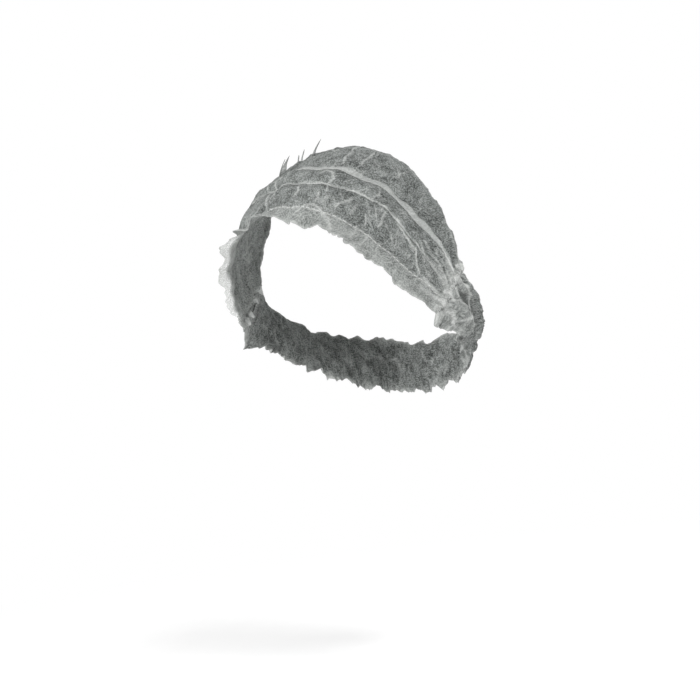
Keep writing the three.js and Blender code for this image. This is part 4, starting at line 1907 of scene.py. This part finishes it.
@dataclass
class SideSeam:
    """Bunched cloth where panel and sleeve are sewn together, with bright knots and overlock thread."""

    side: Side
    knots: tuple[float, ...] = (0.19, 0.35, 0.65, 0.88)
    columns: int = 96
    sides: int = 28
    thread: float = 0.00020
    thread_sides: int = 6
    passes: int = 17
    pass_points: int = 14
    swing: float = 1.25
    folds: Rumple = Rumple(0.0042, 71, waves=20)
    filling: float = 0.0015

    def rod(self, share: Array) -> dict[str, Array]:
        """Centre line, directions and radius of the bunch at shares of the seam.

        Args:
            share: Share of the seam's length.

        Returns:
            The arrays by name.
        """
        y, z = SEAM.place(share, 0.0)
        point = HEAD.point(y, z, np.full_like(share, self.side.value))
        normal = HEAD.normal(point)
        line = unit(np.gradient(point, axis=0))
        cross = unit(np.cross(normal, line))
        swell = sum(hump((share - knot) / 0.080) for knot in self.knots)
        rounded = np.sqrt(np.maximum(0.25, 1.0 - (2.0 * share - 1.0) ** 6))
        radius = (SEAM.radius * 0.70 + SEAM.knot * 1.5 * swell) * rounded
        middle = point + normal * (SKIN + SEAM.radius * 0.9)
        return {"middle": middle, "normal": normal, "cross": cross, "radius": radius, "swell": swell}

    def bunch(self, cloth: bpy.types.Material) -> bpy.types.Object:
        """Makes the bunched cloth: a rod that swells at each knot, with pinched folds across it.

        Its half towards the head is broader and fills the hollow between the two cloths.

        Args:
            cloth: Finish of the cloth.

        Returns:
            The piece.
        """
        share = np.linspace(0.0, 1.0, self.columns)
        rod = self.rod(share)
        turn = -2.0 * math.pi * np.arange(self.sides) / self.sides
        folds = self.folds.ridges(share[:, None] * SEAM.length, 0.004 * np.sin(turn)[None, :])
        radius = rod["radius"][:, None] * (1.0 + 0.16 * folds)
        inner = held(-np.sin(turn))
        filled = self.filling * (1.0 - (2.0 * share[:, None] - 1.0) ** 2) * inner
        broad = radius * np.cos(turn) * (1.15 + 1.1 * inner)
        profile = np.stack([broad, radius * np.sin(turn) - filled], axis=-1)
        sheet = carried(rod["middle"], profile, rod["cross"], rod["normal"])
        swell = np.concatenate([np.tile(rod["swell"], self.sides), [0.0, 0.0]])
        ridge = np.concatenate([folds.T.ravel(), [0.0, 0.0]])
        place_along = np.concatenate([np.tile(share * SEAM.length, self.sides), [0.0, SEAM.length]])
        place_round = np.concatenate([np.repeat(np.abs(turn) * SEAM.radius, self.columns), [0.0, 0.0]])
        sheet.values = {
            "ply_and_shade": 2.0 + 1.0 * held(swell),
            # The folds' tops are lighter and their valleys darker: painted shading of the folds
            "crease": held(0.35 + 0.75 * swell + 0.2 * ridge),
            "sheer": swell * 0.0,
            "cloth": np.stack([place_along, place_round], axis=-1),
        }
        name = self.side.name.lower()
        piece = new_piece(f"seam_bunch_{name}", sheet, cloth)
        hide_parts(f"side_seam_{name}")
        return piece

    def overlock(self, thread: bpy.types.Material) -> bpy.types.Object:
        """Makes the thread that winds to and fro over the bunch in flat loops.

        Args:
            thread: Finish of the thread.

        Returns:
            The piece.
        """
        place = np.linspace(0.0, 1.0, self.passes * self.pass_points)
        share = 0.03 + 0.94 * place
        rod = self.rod(share)
        angle = 0.5 * math.pi - np.sin(2.0 * math.pi * self.passes * place) * self.swing
        off = rod["radius"] * 1.10 + self.thread * 0.8
        path = (
            rod["middle"]
            + rod["cross"] * (off * 1.12 * np.cos(angle))[:, None]
            + rod["normal"] * (off * np.sin(angle))[:, None]
        )
        tangent = unit(np.gradient(path, axis=0))
        outward = unit(path - rod["middle"])
        beside = unit(np.cross(tangent, outward))
        over = np.cross(beside, tangent)
        turn = np.linspace(0.0, 2.0 * math.pi, self.thread_sides, endpoint=False)
        ring = self.thread * np.stack([np.cos(turn), np.sin(turn)], axis=-1)
        piece = new_piece(f"seam_thread_{self.side.name.lower()}", carried(path, ring, beside, over), thread)
        return piece


# --------------------------------------------------------------------------------------------- studio


@dataclass
class Studio:
    """Pale floor that runs into a white surround, soft lights and the camera."""

    floor: float = -0.30
    radius: float = 5.0
    rings: int = 11
    spokes: int = 96
    distance: float = 1.5
    azimuth: float = 32.0
    elevation: float = 3.0
    roll: float = 7.0
    lens: float = 108.0
    aside: float = 0.00586
    above: float = 0.0406

    def ground(self) -> None:
        """Makes the floor, pale and lit near the object and plain white further out."""
        turn = np.linspace(0.0, 2.0 * math.pi, self.spokes, endpoint=False)
        out = np.linspace(0.0, 1.0, self.rings + 1)[1:, None] ** 2 * self.radius
        level = np.full((self.rings, self.spokes), self.floor)
        points = np.stack([out * np.cos(turn), out * np.sin(turn), level], axis=-1).reshape(-1, 3)
        faces = grid_faces(self.rings, self.spokes, round_columns=True)[:, ::-1]
        ring = np.arange(self.spokes)
        fan = np.column_stack([ring, np.roll(ring, -1), np.full(self.spokes, len(points))])
        points = np.concatenate([points, [[0.0, 0.0, self.floor]]])
        mesh = bpy.data.meshes.new("floor")
        mesh.from_pydata(points.tolist(), [], faces.tolist() + fan.tolist())
        mesh.materials.append(self.floor_finish())
        floor = linked("floor", mesh)

    def floor_finish(self) -> bpy.types.Material:
        """Matt pale paper that fades into plain white light with distance from the object.

        Returns:
            The material.
        """
        shader = Shader("floor_paper")
        place = shader.add("ShaderNodeVectorMath", {"operation": "LENGTH"}, {0: shader.place()}, "Value")
        grain = shader.noise(shader.place(), 40.0, 2.0)
        shader.finish(
            {"Base Color": shader.tint(grain, (0.86, 0.86, 0.86, 1.0), (0.90, 0.90, 0.90, 1.0))},
            {"Roughness": 0.9, "Emission Color": (1.0, 1.0, 1.0, 1.0), "Emission Strength": 0.15},
        )
        white = shader.add("ShaderNodeEmission", {}, {"Color": (1.0, 1.0, 1.0, 1.0), "Strength": 1.0})
        shader.mix_in(white, place.step(0.36, 0.85))
        return shader.material

    def surround(self, seen: float = 1.0, light: float = 0.34) -> None:
        """White surround, seen brighter by the camera than it lights the object.

        Args:
            seen: Strength to the camera.
            light: Strength as light.
        """
        world = bpy.data.worlds.new("surround")
        world.use_nodes = True
        tree = world.node_tree
        tree.nodes.clear()
        rays = tree.nodes.new("ShaderNodeLightPath")
        strength = Value(tree, rays.outputs["Is Camera Ray"]) * (seen - light) + light
        ground = tree.nodes.new("ShaderNodeBackground")
        ground.inputs["Color"].default_value = (1.0, 1.0, 1.0, 1.0)
        tree.links.new(strength.socket, ground.inputs["Strength"])
        output = tree.nodes.new("ShaderNodeOutputWorld")
        tree.links.new(ground.outputs[0], output.inputs["Surface"])
        bpy.context.scene.world = world

    def lamp(self, name: str, place: tuple[float, float, float], size: float, power: float) -> None:
        """Soft square lamp that faces the middle of the band.

        Args:
            name: Plain name.
            place: Where it stands.
            size: Side of the square.
            power: Watts.
        """
        light = bpy.data.lights.new(name, "AREA")
        light.shape = "SQUARE"
        light.size = size
        light.energy = power
        back = unit(np.array(place))
        right = unit(np.cross([0.0, 0.0, 1.0], back))
        linked(name, light).matrix_world = self.pose(np.array(place), right, np.cross(back, right), back)

    @staticmethod
    def pose(place: Array, right: Array, up: Array, back: Array) -> Matrix:
        """Matrix of a lamp or camera that looks along -back.

        Args:
            place: Where it is.
            right: Its own X.
            up: Its own Y.
            back: Its own Z.

        Returns:
            The matrix.
        """
        rows = np.eye(4)
        rows[:3, 0], rows[:3, 1], rows[:3, 2], rows[:3, 3] = right, up, back, place
        return Matrix(rows.tolist())

    def camera(self) -> None:
        """Makes the camera at its distance and angle, tilted a little about its own axis."""
        turn, rise, tilt = (math.radians(a) for a in (self.azimuth, self.elevation, self.roll))
        back = np.array([math.sin(turn) * math.cos(rise), -math.cos(turn) * math.cos(rise), math.sin(rise)])
        level = np.array([math.cos(turn), math.sin(turn), 0.0])
        upright = np.cross(back, level)
        right = math.cos(tilt) * level - math.sin(tilt) * upright
        up = math.sin(tilt) * level + math.cos(tilt) * upright
        place = back * self.distance - right * self.aside - up * self.above
        data = bpy.data.cameras.new("camera")
        data.lens = self.lens
        data.sensor_width = 36.0
        data.clip_start = 0.05
        data.clip_end = 50.0
        camera = linked("camera", data)
        camera.matrix_world = self.pose(place, right, up, back)
        bpy.context.scene.camera = camera

    def build(self) -> None:
        """Sets up floor, light and camera."""
        self.ground()
        self.surround()
        self.lamp("key", (1.0, -0.8, 1.1), 0.35, 21.0)
        self.lamp("fill", (-1.0, -1.1, 0.4), 0.50, 14.0)
        self.lamp("rim", (-0.3, 1.4, 0.9), 0.60, 13.0)
        self.camera()
        bpy.context.scene.view_settings.view_transform = "Standard"


# ----------------------------------------------------------------------------------------------- main


def dress_elastic() -> None:
    """Gives the elastic in the sleeve its finish."""
    finish = CoveredElastic("covered_elastic").material()
    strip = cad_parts["elastic_strip"]
    for slot in strip.material_slots:
        slot.material = finish


def main() -> None:
    """Builds the headband piece by piece, then the studio."""
    logging.basicConfig(level=logging.INFO, format="%(name)s: %(message)s")
    Studio().build()
    cloth = FibreCloth("panel_non_woven").material()
    sleeve_cloth = FibreCloth("sleeve_non_woven").material()
    seam_cloth = FibreCloth("seam_non_woven").material()
    thread = Thread("white_thread").material()

    panel = Panel()
    panel_piece = panel.build(cloth)
    stitches = HemStitches(panel).build(thread)
    sleeve = Sleeve()
    sleeve_piece = sleeve.build(sleeve_cloth)
    for side in Side:
        seam = SideSeam(side)
        bunch = seam.bunch(seam_cloth)
        loops = seam.overlock(thread)
        LOG.info("%s, %s", bunch.name, loops.name)
    dress_elastic()
    panel.flat_size()
    sleeve.flat_size()
    LOG.info("%s is cut %.3f by %.3f m", panel_piece.name, *panel.flat_size())
    LOG.info("%s is cut %.3f by %.3f m", sleeve_piece.name, *sleeve.flat_size())


if __name__ == "__main__":
    main()
